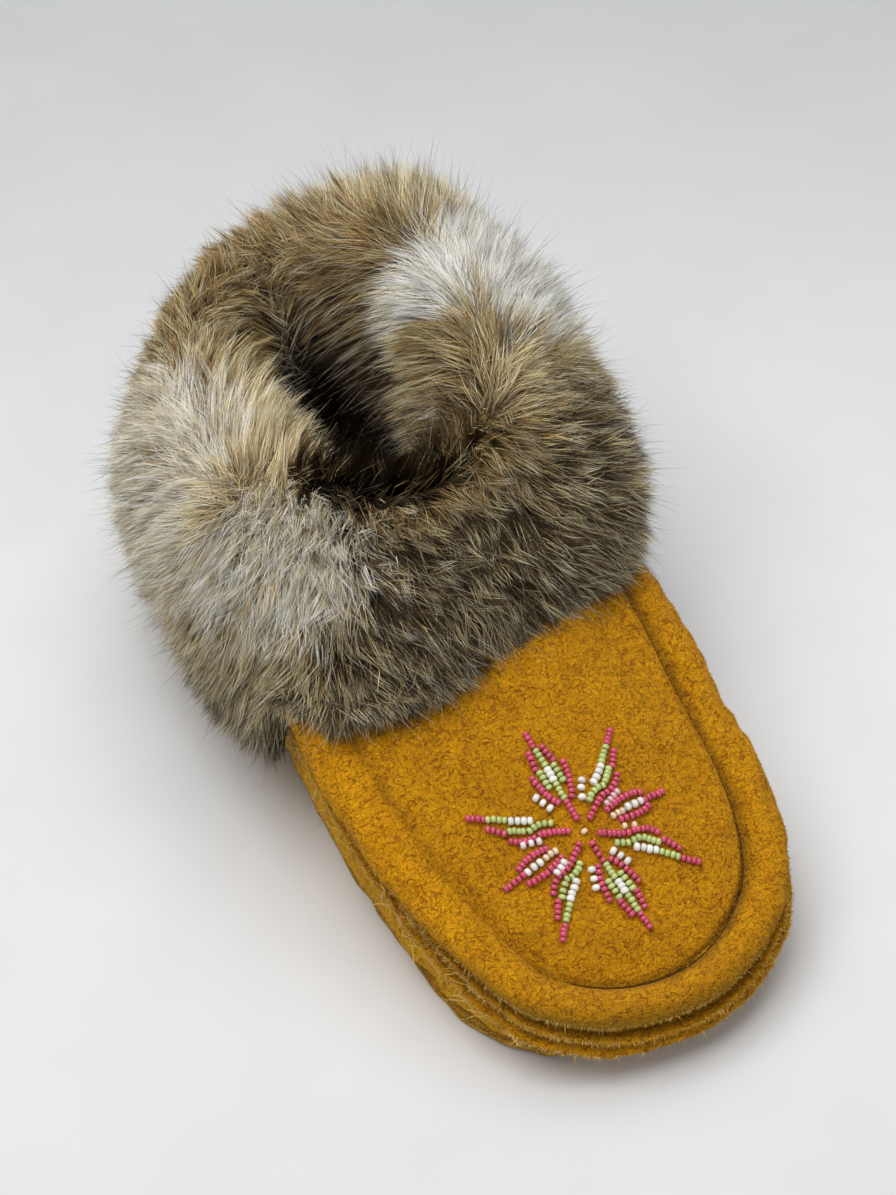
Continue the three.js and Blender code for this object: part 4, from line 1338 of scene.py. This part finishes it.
# Where each coat lies: angle round the collar, place from -1 at the inner edge over 0 at the crest
# to 1 at the hem, how far it spreads in degrees and in places, and how strongly
COAT_PATCHES = (
    ("ticked", 0, 0.0, 720, 9, 0.25),
    ("brown", 0, 0.0, 720, 9, 0.15),
    ("cream", 316, 0.33, 19, 0.24, 14),
    ("ticked", 316, 0.33, 19, 0.24, 4),
    ("white", 313, 0.36, 16, 0.22, 9),
    ("tan", 291, 0.13, 12, 0.17, 7),
    ("tan", 299, -0.28, 15, 0.33, 6),
    ("slate", 292, 0.04, 9, 0.06, 6),
    ("cream", 262, 0.3, 30, 0.5, 4),
    ("cream", 262, -0.2, 22, 0.25, 3),
    ("white", 243, -0.15, 8, 0.1, 3),
    ("tan", 255, -0.7, 40, 0.35, 2),
    ("ticked", 222, -0.3, 14, 0.25, 3),
    ("brown", 175, -0.35, 50, 0.42, 9),
    # painted shade: these dark patches deep in the opening darken the hair for the opening's shade,
    # over its own dark colour
    ("dark", 158, -0.82, 50, 0.35, 12),
    ("dark", 15, -0.75, 28, 0.35, 6),
    ("brown", 190, 0.15, 30, 0.3, 3),
    ("tan", 152, 0.1, 8, 0.25, 2),
    ("white", 92, -0.3, 18, 0.13, 18),
    ("cream", 113, -0.46, 17, 0.14, 5),
    ("white", 86, 0.07, 20, 0.2, 24),
    ("slate", 66, -0.13, 15, 0.05, 4),
    ("tan", 117, -0.1, 15, 0.06, 2),
    ("cream", 112, -0.1, 18, 0.07, 3),
    ("tan", 140, -0.02, 12, 0.12, 4),
    ("brown", 50, -0.6, 25, 0.35, 4),
    ("ticked", 80, -0.6, 25, 0.15, 1),
    ("brown", 18, 0.15, 18, 0.13, 5),
    ("tan", 33, -0.05, 10, 0.16, 4),
    ("charcoal", 346, 0.08, 18, 0.22, 3),
    # painted shade: dark hair on the inner wall behind the front rim, where the opening lies in
    # shade
    ("dark", 338, -0.4, 24, 0.25, 6),
    ("charcoal", 12, 0.62, 38, 0.38, 8),
    ("ticked", 12, 0.65, 38, 0.35, 3),
    ("brown", 347, 0.15, 11, 0.15, 4),
    ("charcoal", 345, 0.6, 14, 0.3, 6),
    ("ticked", 345, 0.6, 14, 0.3, 2.6),
    ("ticked", 313, 0.7, 20, 0.22, 7),
    ("charcoal", 313, 0.7, 20, 0.22, 2),
    ("charcoal", 330, 0.95, 40, 0.12, 3),
    ("ticked", 180, 0.8, 100, 0.3, 2),
    ("charcoal", 180, 0.9, 100, 0.25, 1.5),
    ("cream", 130, 0.45, 40, 0.25, 1.5),
)

# How the hair lies, by angle: the place where it parts to both sides, its lean towards growing
# angles, how far single tufts stray over the parting, its length against the rest, and how far
# it stands up along the crest (lies over, below zero)
FLOW = table(
    "angle parting swirl stray long stand",
    (0, -1.1, 0.3, 0.15, 1.1, 0.45),
    (12, -0.7, 0.3, 0.15, 1.05, 0.2),
    (22, -0.35, 0.35, 0.08, 1, 0),
    (30, -0.22, 0.5, 0.05, 1, 0),
    (45, -0.12, 0.8, 0.03, 1, 0),
    (60, -0.12, 1.1, 0.03, 1.05, 0.1),
    (80, -0.12, 1.1, 0.05, 1.2, 0.3),
    (95, -0.12, 0.9, 0.1, 1.1, 0.2),
    (107, -0.12, 0.85, 0.12, 1.12, 0.25),
    (119, -0.12, 0.7, 0.15, 1.45, 0.55),
    (130, -0.22, 0.6, 0.2, 1.6, 0.65),
    (140, -0.3, 0.75, 0.2, 1.5, 0.4),
    (150, -0.4, 0.9, 0.2, 1.4, 0.25),
    (162, -0.4, 0.8, 0.2, 1.2, 0.1),
    (172, -0.38, 0.6, 0.2, 1.0, 0),
    (182, -0.3, 0.3, 0.2, 0.9, -0.15),
    (195, -0.15, -0.2, 0.18, 0.82, -0.25),
    (225, -0.05, -0.9, 0.18, 0.85, -0.2),
    (255, -0.05, -1.0, 0.15, 1, 0),
    (280, 0, -0.8, 0.08, 1, 0),
    (296, 0.05, -0.3, 0.05, 1, 0),
    (306, -0.1, 0.1, 0.25, 1, 0),
    (315, -0.5, 0.3, 0.25, 1, 0),
    (325, -1.1, 0.35, 0.15, 1.1, 0.25),
    (345, -1.1, 0.35, 0.15, 1.15, 0.6),
)

# Whorls, where hairs lie over all round: angle, place and spread
WHORLS = ((296, 0.05, 9), (22, -0.1, 9))


def turned_from(degrees, angle):
    """Degrees past an angle, from -180 to 180."""
    return np.mod(degrees - angle + 180, 360) - 180


def coat_weights(degrees, place):
    """Shares of each coat at these angles and places."""
    weights = np.zeros((len(degrees), len(COAT_NAMES)))
    for coat, angle, middle, spread, reach, strength in COAT_PATCHES:
        apart = (turned_from(degrees, angle) / spread) ** 2 + ((place - middle) / reach) ** 2
        weights[:, COAT_NAMES.index(coat)] += strength * np.exp(-(apart**2))
    weights[:, COAT_NAMES.index("ticked")] += PALE_TIPS * weights[:, COAT_NAMES.index("brown")]
    return weights / weights.sum(1, keepdims=True)


def drawn(weights, draw):
    """One coat for each row of shares."""
    chance = draw.random((len(weights), 1))
    return np.minimum((np.cumsum(weights, 1) < chance).sum(1), weights.shape[1] - 1)


def signed_from(place, crest):
    """Places from 0 to 1 down the cuff as places from -1 over 0 at the crest to 1."""
    return np.where(place < crest, (place - crest) / crest, (place - crest) / (1 - crest))


# By place over the cuff: the pelt's depth under the outside of the fur, the length of hairs and
# how thickly they grow
PELT_DEPTH = table(
    "place depth",
    (-1, 1.5),
    (-0.4, 1.5),
    (-0.15, 4),
    (0, 6),
    (0.35, 6.5),
    (0.7, 6.5),
    (1, 4),
)
HAIR_REACH = table(
    "place length",
    (-1, 15),
    (-0.6, 17),
    (-0.2, 15),
    (0, 13),
    (0.3, 14),
    (0.75, 14.5),
    (1, 12),
)
HAIR_THICK = table("place weight", (-1, 0.7), (-0.3, 0.9), (0, 1.25), (0.9, 1), (1, 1.3))
PELT_THICKNESS = 1.5
PELT_CLEARANCE = 0.8  # over the suede
PELT_TONE = 0.9
SUEDE_RAY = Sizes(above=40.0, deepest=25.0)  # from where the suede is looked for, and how deep


class Cuff:
    """The folded pelt that the hairs grow from, inside the cuff's outside by their depth."""

    def __init__(self):
        self.outside, self.crest = cuff_grid()
        self.length = np.linalg.norm(np.diff(self.outside, axis=1), axis=-1).sum(1)
        _, _, out = grid_frame(self.outside)
        depth = np.interp(self.signed_place(), PELT_DEPTH["place"], PELT_DEPTH["depth"])
        self.pelt = self.outside - out * depth[..., None]
        self.down, self.round_it, self.out = grid_frame(self.pelt)

    def signed_place(self):
        place = np.broadcast_to(np.linspace(0, 1, CUFF_PLACES), (CUFF_ANGLES, CUFF_PLACES))
        return signed_from(place, self.crest[:, None])

    def clear_of(self, tree, clearance):
        """Lifts what would lie in the suede under the hem."""
        for k in range(CUFF_ANGLES):
            for j in range(CUFF_PLACES // 2, CUFF_PLACES):
                self.pelt[k, j] = lifted(tree, self.pelt[k, j], clearance)
        self.down, self.round_it, self.out = grid_frame(self.pelt)

    def places(self, degrees, signed):
        crest = at_grid(self.crest, degrees, None)
        return np.where(signed < 0, crest * (1 + signed), crest + (1 - crest) * signed)


def lifted(tree, spot, clearance):
    """A spot, raised to a clearance over the suede where it lies in or under it."""
    start = Vector((spot[0], spot[1], spot[2] + SUEDE_RAY.above))
    hit = tree.ray_cast(start, Vector((0, 0, -1)))[0]
    if hit is None or hit.z - spot[2] >= SUEDE_RAY.deepest or spot[2] >= hit.z + clearance:
        return spot
    return np.array([spot[0], spot[1], hit.z + clearance])


def suede_tree(grids):
    """The suede's surfaces, to keep fur out of them."""
    points, quads, first = [], [], 0
    for grid in grids:
        rows, columns = grid.shape[:2]
        points += grid.reshape(-1, 3).tolist()
        quads += grid_quads(rows, columns, first, False).tolist()
        first += rows * columns
    return BVHTree.FromPolygons(points, quads)


HAIR_TOP = 125.0  # hairs that rise past this height lie over
HAIR_PRESSED = 0.6  # share of the height past it that they lose
HAIR_FLOOR = 1.0
PARTING_WIDTH = 0.1
WHORL = Sizes(reach=0.25, turn=1.3)
# Leans in radians off the surface: of an upright hair, what lying adds, the share that hairs lose
# down in the opening, and how single hairs stray
LEAN_ROOT = Sizes(upright=0.3, lying=0.35, inner=0.5, stray=0.15)
LEAN_TIP = Sizes(upright=0.75, lying=0.5, inner=0.3, stray=0.2)
INNER = Sizes(start=0.1, end=0.45)  # places inside the crest over which that comes in
CREST_STAND = Sizes(share=0.8, at=0.05, width=0.35)
CREST_LONG = Sizes(at=0.05, width=0.5)
SWIRL_STRAY = 0.2
DROOP = Sizes(outside=0.25, inside=0.05)
SEEN_SHARE = 0.7  # of a hair's way from root to end, where its colour shows
LIGHT_LIFT = Sizes(outside=0.3, inside=0.45, start=-0.1, end=0.3)


def hair_spines(cuff, degrees, signed, stray, long, stations):
    """Spines and surface normals of hairs rooted at these angles and places.

    Stray is how each hair differs from its place's own lie: over the parting, aside, and in lean.
    """
    place = cuff.places(degrees, signed)
    roots = at_grid(cuff.pelt, degrees, place)
    out, down, round_it = (
        unit(at_grid(values, degrees, place)) for values in (cuff.out, cuff.down, cuff.round_it)
    )
    lie = {column: np.interp(degrees, FLOW["angle"], FLOW[column], period=360) for column in FLOW}
    side = np.tanh((signed - lie["parting"] + lie["stray"] * stray[:, 0]) / PARTING_WIDTH)
    swirl = lie["swirl"]
    for angle, middle, spread in WHORLS:
        apart = turned_from(degrees, angle) / spread
        near = np.exp(-(apart**2) - ((signed - middle) / WHORL.reach) ** 2)
        swirl = swirl * (1 - near) + WHORL.turn * near * np.clip(apart, -1, 1)
    sway = SWIRL_STRAY * stray[:, 1]
    swirl = swirl + uneven("fur", roots) + sway
    flows = unit(down * side[:, None] + round_it * swirl[:, None] + TINY)
    lying = np.clip(np.hypot(side, swirl), 0, 1)
    inner = smoothstep(-signed, INNER.start, INNER.end)
    standing = lie["stand"] * bell(signed - CREST_STAND.at, CREST_STAND.width)
    laid = 1 - CREST_STAND.share * standing
    lean_root, lean_tip = (
        (lean.upright + lean.lying * lying) * (1 - lean.inner * inner) * laid
        + lean.stray * stray[:, 2]
        for lean in (LEAN_ROOT, LEAN_TIP)
    )
    droop = np.where(signed > 0, DROOP.outside, DROOP.inside)
    reach = np.interp(signed, HAIR_REACH["place"], HAIR_REACH["length"])
    near_crest = bell(signed - CREST_LONG.at, CREST_LONG.width)
    lengths = reach * long * (1 + (lie["long"] - 1) * near_crest)
    spines = grow(roots, out, flows, lengths, lean_root, lean_tip, sway, droop, stations)
    return settled(spines), out


def seen_at(cuff, degrees, signed, spines):
    """Angles and places over which the hairs' ends lie, where their colours show."""
    way = SEEN_SHARE * (spines[:, -1] - spines[:, 0])
    angle = np.degrees(collar_angle(spines[:, 0] + way))
    crest = at_grid(cuff.crest, degrees, None)
    length = at_grid(cuff.length, degrees, None) * np.where(signed < 0, crest, 1 - crest)
    down = at_grid(cuff.down, degrees, cuff.places(degrees, signed))
    return angle, signed + np.sum(way * down, -1) / length


def lit_as(out, signed, stray):
    """Directions that hairs are lit from: outwards, and upwards down in the opening."""
    inside = smoothstep(-signed, LIGHT_LIFT.start, LIGHT_LIFT.end)
    lift = LIGHT_LIFT.outside + LIGHT_LIFT.inside * inside
    return unit(out + lift[:, None] * UP + stray)


def settled(spines):
    """Hairs kept down to the cuff's height and off the floor."""
    over = np.maximum(spines[..., 2] - HAIR_TOP, 0)
    spines[..., 2] = np.maximum(spines[..., 2] - HAIR_PRESSED * over, HAIR_FLOOR)
    return spines


def make_pelt(cuff):
    degrees = np.repeat(np.arange(CUFF_ANGLES) * 360 / CUFF_ANGLES, CUFF_PLACES)
    shares = coat_weights(degrees, cuff.signed_place().ravel())
    wool = shares @ (0.5 * COAT_COLOURS[:, 0] + 0.5 * COAT_COLOURS[:, 1])
    tint = PELT_TONE * wool.reshape(CUFF_ANGLES, CUFF_PLACES, 3)
    under = cuff.pelt - cuff.out * PELT_THICKNESS
    piece = slab("fur_pelt", cuff.pelt, under, PELT, wrapped=True, tint=tint)
    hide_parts("fur_cuff")


def root_spots(cuff, count, draw):
    """Random angles and signed places on the pelt, even by area, fewer deep inside."""
    wrapped = np.concatenate([cuff.outside, cuff.outside[:1]])
    across = wrapped[1:, :-1] - wrapped[:-1, :-1]
    down = wrapped[:-1, 1:] - wrapped[:-1, :-1]
    area = np.linalg.norm(np.cross(across, down), axis=-1)
    signed = cuff.signed_place()[:, :-1]
    weight = area * np.interp(signed, HAIR_THICK["place"], HAIR_THICK["weight"])
    cell = draw.choice(weight.size, count, p=weight.ravel() / weight.sum())
    i, j = np.unravel_index(cell, weight.shape)
    degrees = (i + draw.random(count)) * 360 / CUFF_ANGLES
    place = (j + draw.random(count)) / (CUFF_PLACES - 1)
    return degrees, signed_from(place, at_grid(cuff.crest, degrees, None))


HAIR_STATIONS = 3
HAIR_WIDTHS = np.array([0.9, 1.0, 0.0])
HAIR_HALF_WIDTH = (0.07, 0.12)
TUFTS = 17000
HAIRS = 162000
TUFT = Sizes(shortest=0.8, longest=1.1, tone=0.27, facing=0.34)
# How hairs of a tuft differ from it, and how far they come together towards their tips
HAIR_STRAY = Sizes(degrees=1.4, place=0.025, lie=0.4, tone=0.3, twist=0.4, facing=0.12)
HAIR_LENGTHS = (0.55, 1.08)
PULL = Sizes(share=0.66, bend=1.3, spread=0.3)
DARK_TIPS = Sizes(pale_coats=0.04, others=0.12, hairs=0.8)  # shares of tufts, and in a tuft
DARK_TIP = srgb(46, 38, 30)
TUFT_COAT = 0.72  # share of hairs with their tuft's coat
TINT_RANGE = (0.004, 0.95)
QUARTERS = {"front": 0, "inner_side": 90, "back": 180, "outer_side": 270}
QUARTER = Sizes(half=45, shift=0.001)  # degrees; with the shift no hair is in two quarters
HEM = Sizes(place=0.45, degrees=80, clearance=0.35)  # the front hem, which lies on the vamp


def make_fur(cuff, tree):
    """Tufts of hairs that lean together, in four pieces round the collar."""
    draw = np.random.default_rng(SEEDS.fur)
    tuft_degrees, tuft_signed = root_spots(cuff, TUFTS, draw)
    tuft_long = draw.uniform(TUFT.shortest, TUFT.longest, TUFTS)
    tuft_stray = draw.normal(0, 1, (TUFTS, 3))
    guides, _ = hair_spines(cuff, tuft_degrees, tuft_signed, tuft_stray, tuft_long, HAIR_STATIONS)
    tuft_coat = drawn(coat_weights(*seen_at(cuff, tuft_degrees, tuft_signed, guides)), draw)
    tuft_tone = np.exp(draw.normal(0, TUFT.tone, TUFTS))
    tuft_facing = draw.normal(0, TUFT.facing, (TUFTS, 3))
    pale = np.isin(tuft_coat, PALE_COATS)
    tuft_dark = draw.random(TUFTS) < np.where(pale, DARK_TIPS.pale_coats, DARK_TIPS.others)

    tuft = draw.integers(0, TUFTS, HAIRS)
    degrees = tuft_degrees[tuft] + draw.normal(0, HAIR_STRAY.degrees, HAIRS)
    signed = np.clip(tuft_signed[tuft] + draw.normal(0, HAIR_STRAY.place, HAIRS), -1, 1)
    long = tuft_long[tuft] * draw.uniform(*HAIR_LENGTHS, HAIRS)
    stray = tuft_stray[tuft] + draw.normal(0, HAIR_STRAY.lie, (HAIRS, 3))
    spines, out = hair_spines(cuff, degrees, signed, stray, long, HAIR_STATIONS)
    pull = PULL.share * np.linspace(0, 1, HAIR_STATIONS)[None, :, None] ** PULL.bend
    spread = draw.normal(0, PULL.spread, (HAIRS, 1, 3))
    spines = spines * (1 - pull) + (guides[tuft] + spread) * pull
    rest_on_suede(spines, degrees, signed, tree)

    own = drawn(coat_weights(*seen_at(cuff, degrees, signed, spines)), draw)
    coat = np.where(draw.random(HAIRS) < TUFT_COAT, tuft_coat[tuft], own)
    tints = COAT_COLOURS[coat]
    dark_tips = tuft_dark[tuft] & (draw.random(HAIRS) < DARK_TIPS.hairs)
    tints[dark_tips, -1] = DARK_TIP
    tone = tuft_tone[tuft] * np.exp(draw.normal(0, HAIR_STRAY.tone, HAIRS))
    tints = np.clip(tints * tone[:, None, None], *TINT_RANGE)
    widths = draw.uniform(*HAIR_HALF_WIDTH, (HAIRS, 1)) * HAIR_WIDTHS
    sides = ribbon_sides(spines, out, draw.normal(0, HAIR_STRAY.twist, HAIRS))
    own_facing = draw.normal(0, HAIR_STRAY.facing, (HAIRS, 3))
    facing = lit_as(out, signed, tuft_facing[tuft] + own_facing)
    for name, angle in QUARTERS.items():
        chosen = np.abs(turned_from(degrees, angle) + QUARTER.shift) <= QUARTER.half
        parts = [values[chosen] for values in (spines, widths, sides, tints)]
        piece = ribbons(f"fur_{name}", *parts, HAIR, facing[chosen])


def rest_on_suede(spines, degrees, signed, tree):
    """Lays the hairs of the front hem on the vamp, not in it."""
    ahead = np.abs(turned_from(degrees, 0)) < HEM.degrees
    for k in np.flatnonzero((signed > HEM.place) & ahead):
        for station in range(spines.shape[1]):
            spines[k, station] = lifted(tree, spines[k, station], HEM.clearance)


GUARD = Sizes(count=7000, stations=4, half_width=0.06, tip=0.3, lift=5.0, stray=1.4)
GUARD_LENGTHS = (1.1, 1.4)
GUARD_STRAY = Sizes(twist=0.6, facing=0.25)
GUARD_COLOURS = Sizes(root=srgb(104, 92, 76), pale=srgb(230, 220, 196), dark=srgb(44, 36, 29))


def make_guard_hairs(cuff):
    """Long fine hairs that stand past the rest."""
    draw = np.random.default_rng(SEEDS.guard_hairs)
    count, stations = GUARD.count, GUARD.stations
    degrees, signed = root_spots(cuff, count, draw)
    long = draw.uniform(*GUARD_LENGTHS, count)
    stray = draw.normal(0, 1, (count, 3))
    spines, out = hair_spines(cuff, degrees, signed, stray, long, stations)
    share = np.linspace(0, 1, stations)[None, :, None]
    lift = share**2
    spines = spines + out[:, None] * lift * draw.uniform(0, GUARD.lift, (count, 1, 1))
    spines = settled(spines + lift * draw.normal(0, GUARD.stray, (count, 1, 3)))
    pale = draw.random((count, 1, 1)) < 0.5
    ends = np.where(pale, GUARD_COLOURS.pale, GUARD_COLOURS.dark)
    tints = GUARD_COLOURS.root * (1 - share) + ends * share
    widths = np.full((count, 1), GUARD.half_width) * np.linspace(1, GUARD.tip, stations)
    sides = ribbon_sides(spines, out, draw.normal(0, GUARD_STRAY.twist, count))
    facing = lit_as(out, signed, draw.normal(0, GUARD_STRAY.facing, (count, 3)))
    piece = ribbons("fur_guard_hairs", spines, widths, sides, tints, HAIR, facing)


# Stage

PHOTO = Sizes(width=896, height=1195, focal=2000.0, aim_x=312.0, aim_y=606.0)
CAMERA = Sizes(place=(620.2, -249.1, 577.9), heading=32.3, pitch=43.1, zoom=1.42)


def heading_ways():
    """The level ways that the camera looks, and to its right."""
    heading = np.radians(CAMERA.heading)
    back = np.array([-np.cos(heading), np.sin(heading), 0.0])
    return back, np.array([np.sin(heading), np.cos(heading), 0.0])


def make_camera():
    """The photograph's camera, turned to the shoe and drawn closer by its lens."""
    pitch = np.radians(CAMERA.pitch)
    level, right = heading_ways()
    forward = level * np.cos(pitch) - UP * np.sin(pitch)
    up = np.cross(right, forward)
    aside = PHOTO.aim_x - PHOTO.width / 2
    below = PHOTO.aim_y - PHOTO.height / 2
    aim = unit(forward * PHOTO.focal + right * aside - up * below)
    right = unit(right - aim * (right @ aim))
    up = np.cross(right, aim)
    data = bpy.data.cameras.new("camera")
    data.sensor_fit = "VERTICAL"
    data.sensor_height = 36.0
    data.lens = PHOTO.focal / PHOTO.height * data.sensor_height * CAMERA.zoom
    data.clip_start = 0.01
    camera = add_object("camera", data)
    turned = Matrix((right, up, -aim)).transposed().to_4x4()
    camera.matrix_world = Matrix.Translation(to_row(CAMERA.place)) @ turned
    bpy.context.scene.camera = camera


# Painted shade on the paper, for the light's falloff: how it darkens by distance behind the shoe's
# middle, in metres
FLOOR_PAINTED_SHADE = table(
    "distance shade",
    (-0.45, 0.84),
    (-0.25, 0.9),
    (-0.1, 0.97),
    (0.05, 1.0),
    (0.2, 0.86),
    (0.35, 0.74),
    (0.6, 0.68),
)

# The floor's sweep in metres: how far away it bends up, the bend's radius, the rise past it, how
# far it comes forward and its half-width
SWEEP = Sizes(away=0.9, bend=0.5, rise=1.6, front=-3.0, half_width=4.0, stations=13)


def make_floor():
    """A pale floor that sweeps up behind the shoe, with painted shade that darkens it in front and
    behind.
    """
    away, bend = SWEEP.away, SWEEP.bend
    arc = np.linspace(0, np.pi / 2, SWEEP.stations)
    profile = [(distance, 0.0) for distance in (SWEEP.front, *FLOOR_PAINTED_SHADE["distance"])]
    profile += [(away + bend * np.sin(a), bend - bend * np.cos(a)) for a in arc]
    profile += [(away + bend, bend + SWEEP.rise)]
    back, aside = heading_ways()
    points, faces, shades = [], [], []
    for k, (distance, height) in enumerate(profile):
        shade = np.interp(distance, FLOOR_PAINTED_SHADE["distance"], FLOOR_PAINTED_SHADE["shade"])
        shades += [shade, shade, shade, 1.0] * 2
        for side in (-SWEEP.half_width, SWEEP.half_width):
            points.append(tuple(back * distance + aside * side + UP * height))
        if k:
            faces.append((2 * k - 2, 2 * k - 1, 2 * k + 1, 2 * k))
    mesh = bpy.data.meshes.new("floor")
    mesh.from_pydata(points, [], faces)
    mesh.polygons.foreach_set("use_smooth", [True] * len(faces))
    mesh.color_attributes.new("tint", "FLOAT_COLOR", "POINT").data.foreach_set("color", shades)
    material, tree, shader = new_material("floor_paper", roughness=0.9)
    clouds = noise(tree, PAPER_CLOUDS, detail=2)
    grain = ramp(tree, clouds, (0.3, srgb(232, 234, 236)), (0.7, srgb(238, 239, 240)))
    colour = mixed(tree, "MULTIPLY", 1.0, grain, corner_tint(tree))
    tree.links.new(colour, shader.inputs["Base Color"])
    mesh.materials.append(material)
    floor = add_object("floor", mesh)
    floor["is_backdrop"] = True


# Lights: place and size in metres, power in watts and colour
LIGHTS = {
    "key": ((-0.05, -0.55, 1.45), 1.1, 12.8, (1.0, 0.98, 0.95)),
    "top": ((-0.3, 0.3, 1.5), 1.3, 9.0, (1.0, 1.0, 1.0)),
    "fill": ((1.3, 0.25, 0.6), 1.0, 2.9, (1.0, 0.99, 0.97)),
}
SKY = {"Color": (0.93, 0.96, 1.0, 1), "Strength": 0.27}


def make_lights():
    for name, (place, size, power, colour) in LIGHTS.items():
        data = bpy.data.lights.new(name, "AREA")
        data.size = size
        data.energy = power
        data.color = colour
        light = add_object(name, data)
        light.location = place
        light.rotation_euler = (-Vector(place)).to_track_quat("-Z", "Y").to_euler()
    world = bpy.data.worlds.new("studio")
    world.use_nodes = True
    set_inputs(world.node_tree.nodes["Background"], SKY)
    bpy.context.scene.world = world
    bpy.context.scene.view_settings.view_transform = "Standard"


make_camera()
make_floor()
make_lights()
wall = make_upper()
make_lining()
vamp = make_vamp()
roll = make_roll()
welt = make_welt()
make_soles()
make_seam_thread()
make_nap(zip((vamp, roll, welt, wall), NAP_COUNTS))
make_fray(welt, roll)
make_star()
suede = suede_tree((vamp, roll, wall))
cuff = Cuff()
cuff.clear_of(suede, PELT_CLEARANCE)
make_pelt(cuff)
make_fur(cuff, suede)
make_guard_hairs(cuff)

visual_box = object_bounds()
boxes = {"cad": cad_box, "visual": visual_box}
{name: [list(corner) for corner in box] for name, box in boxes.items()}
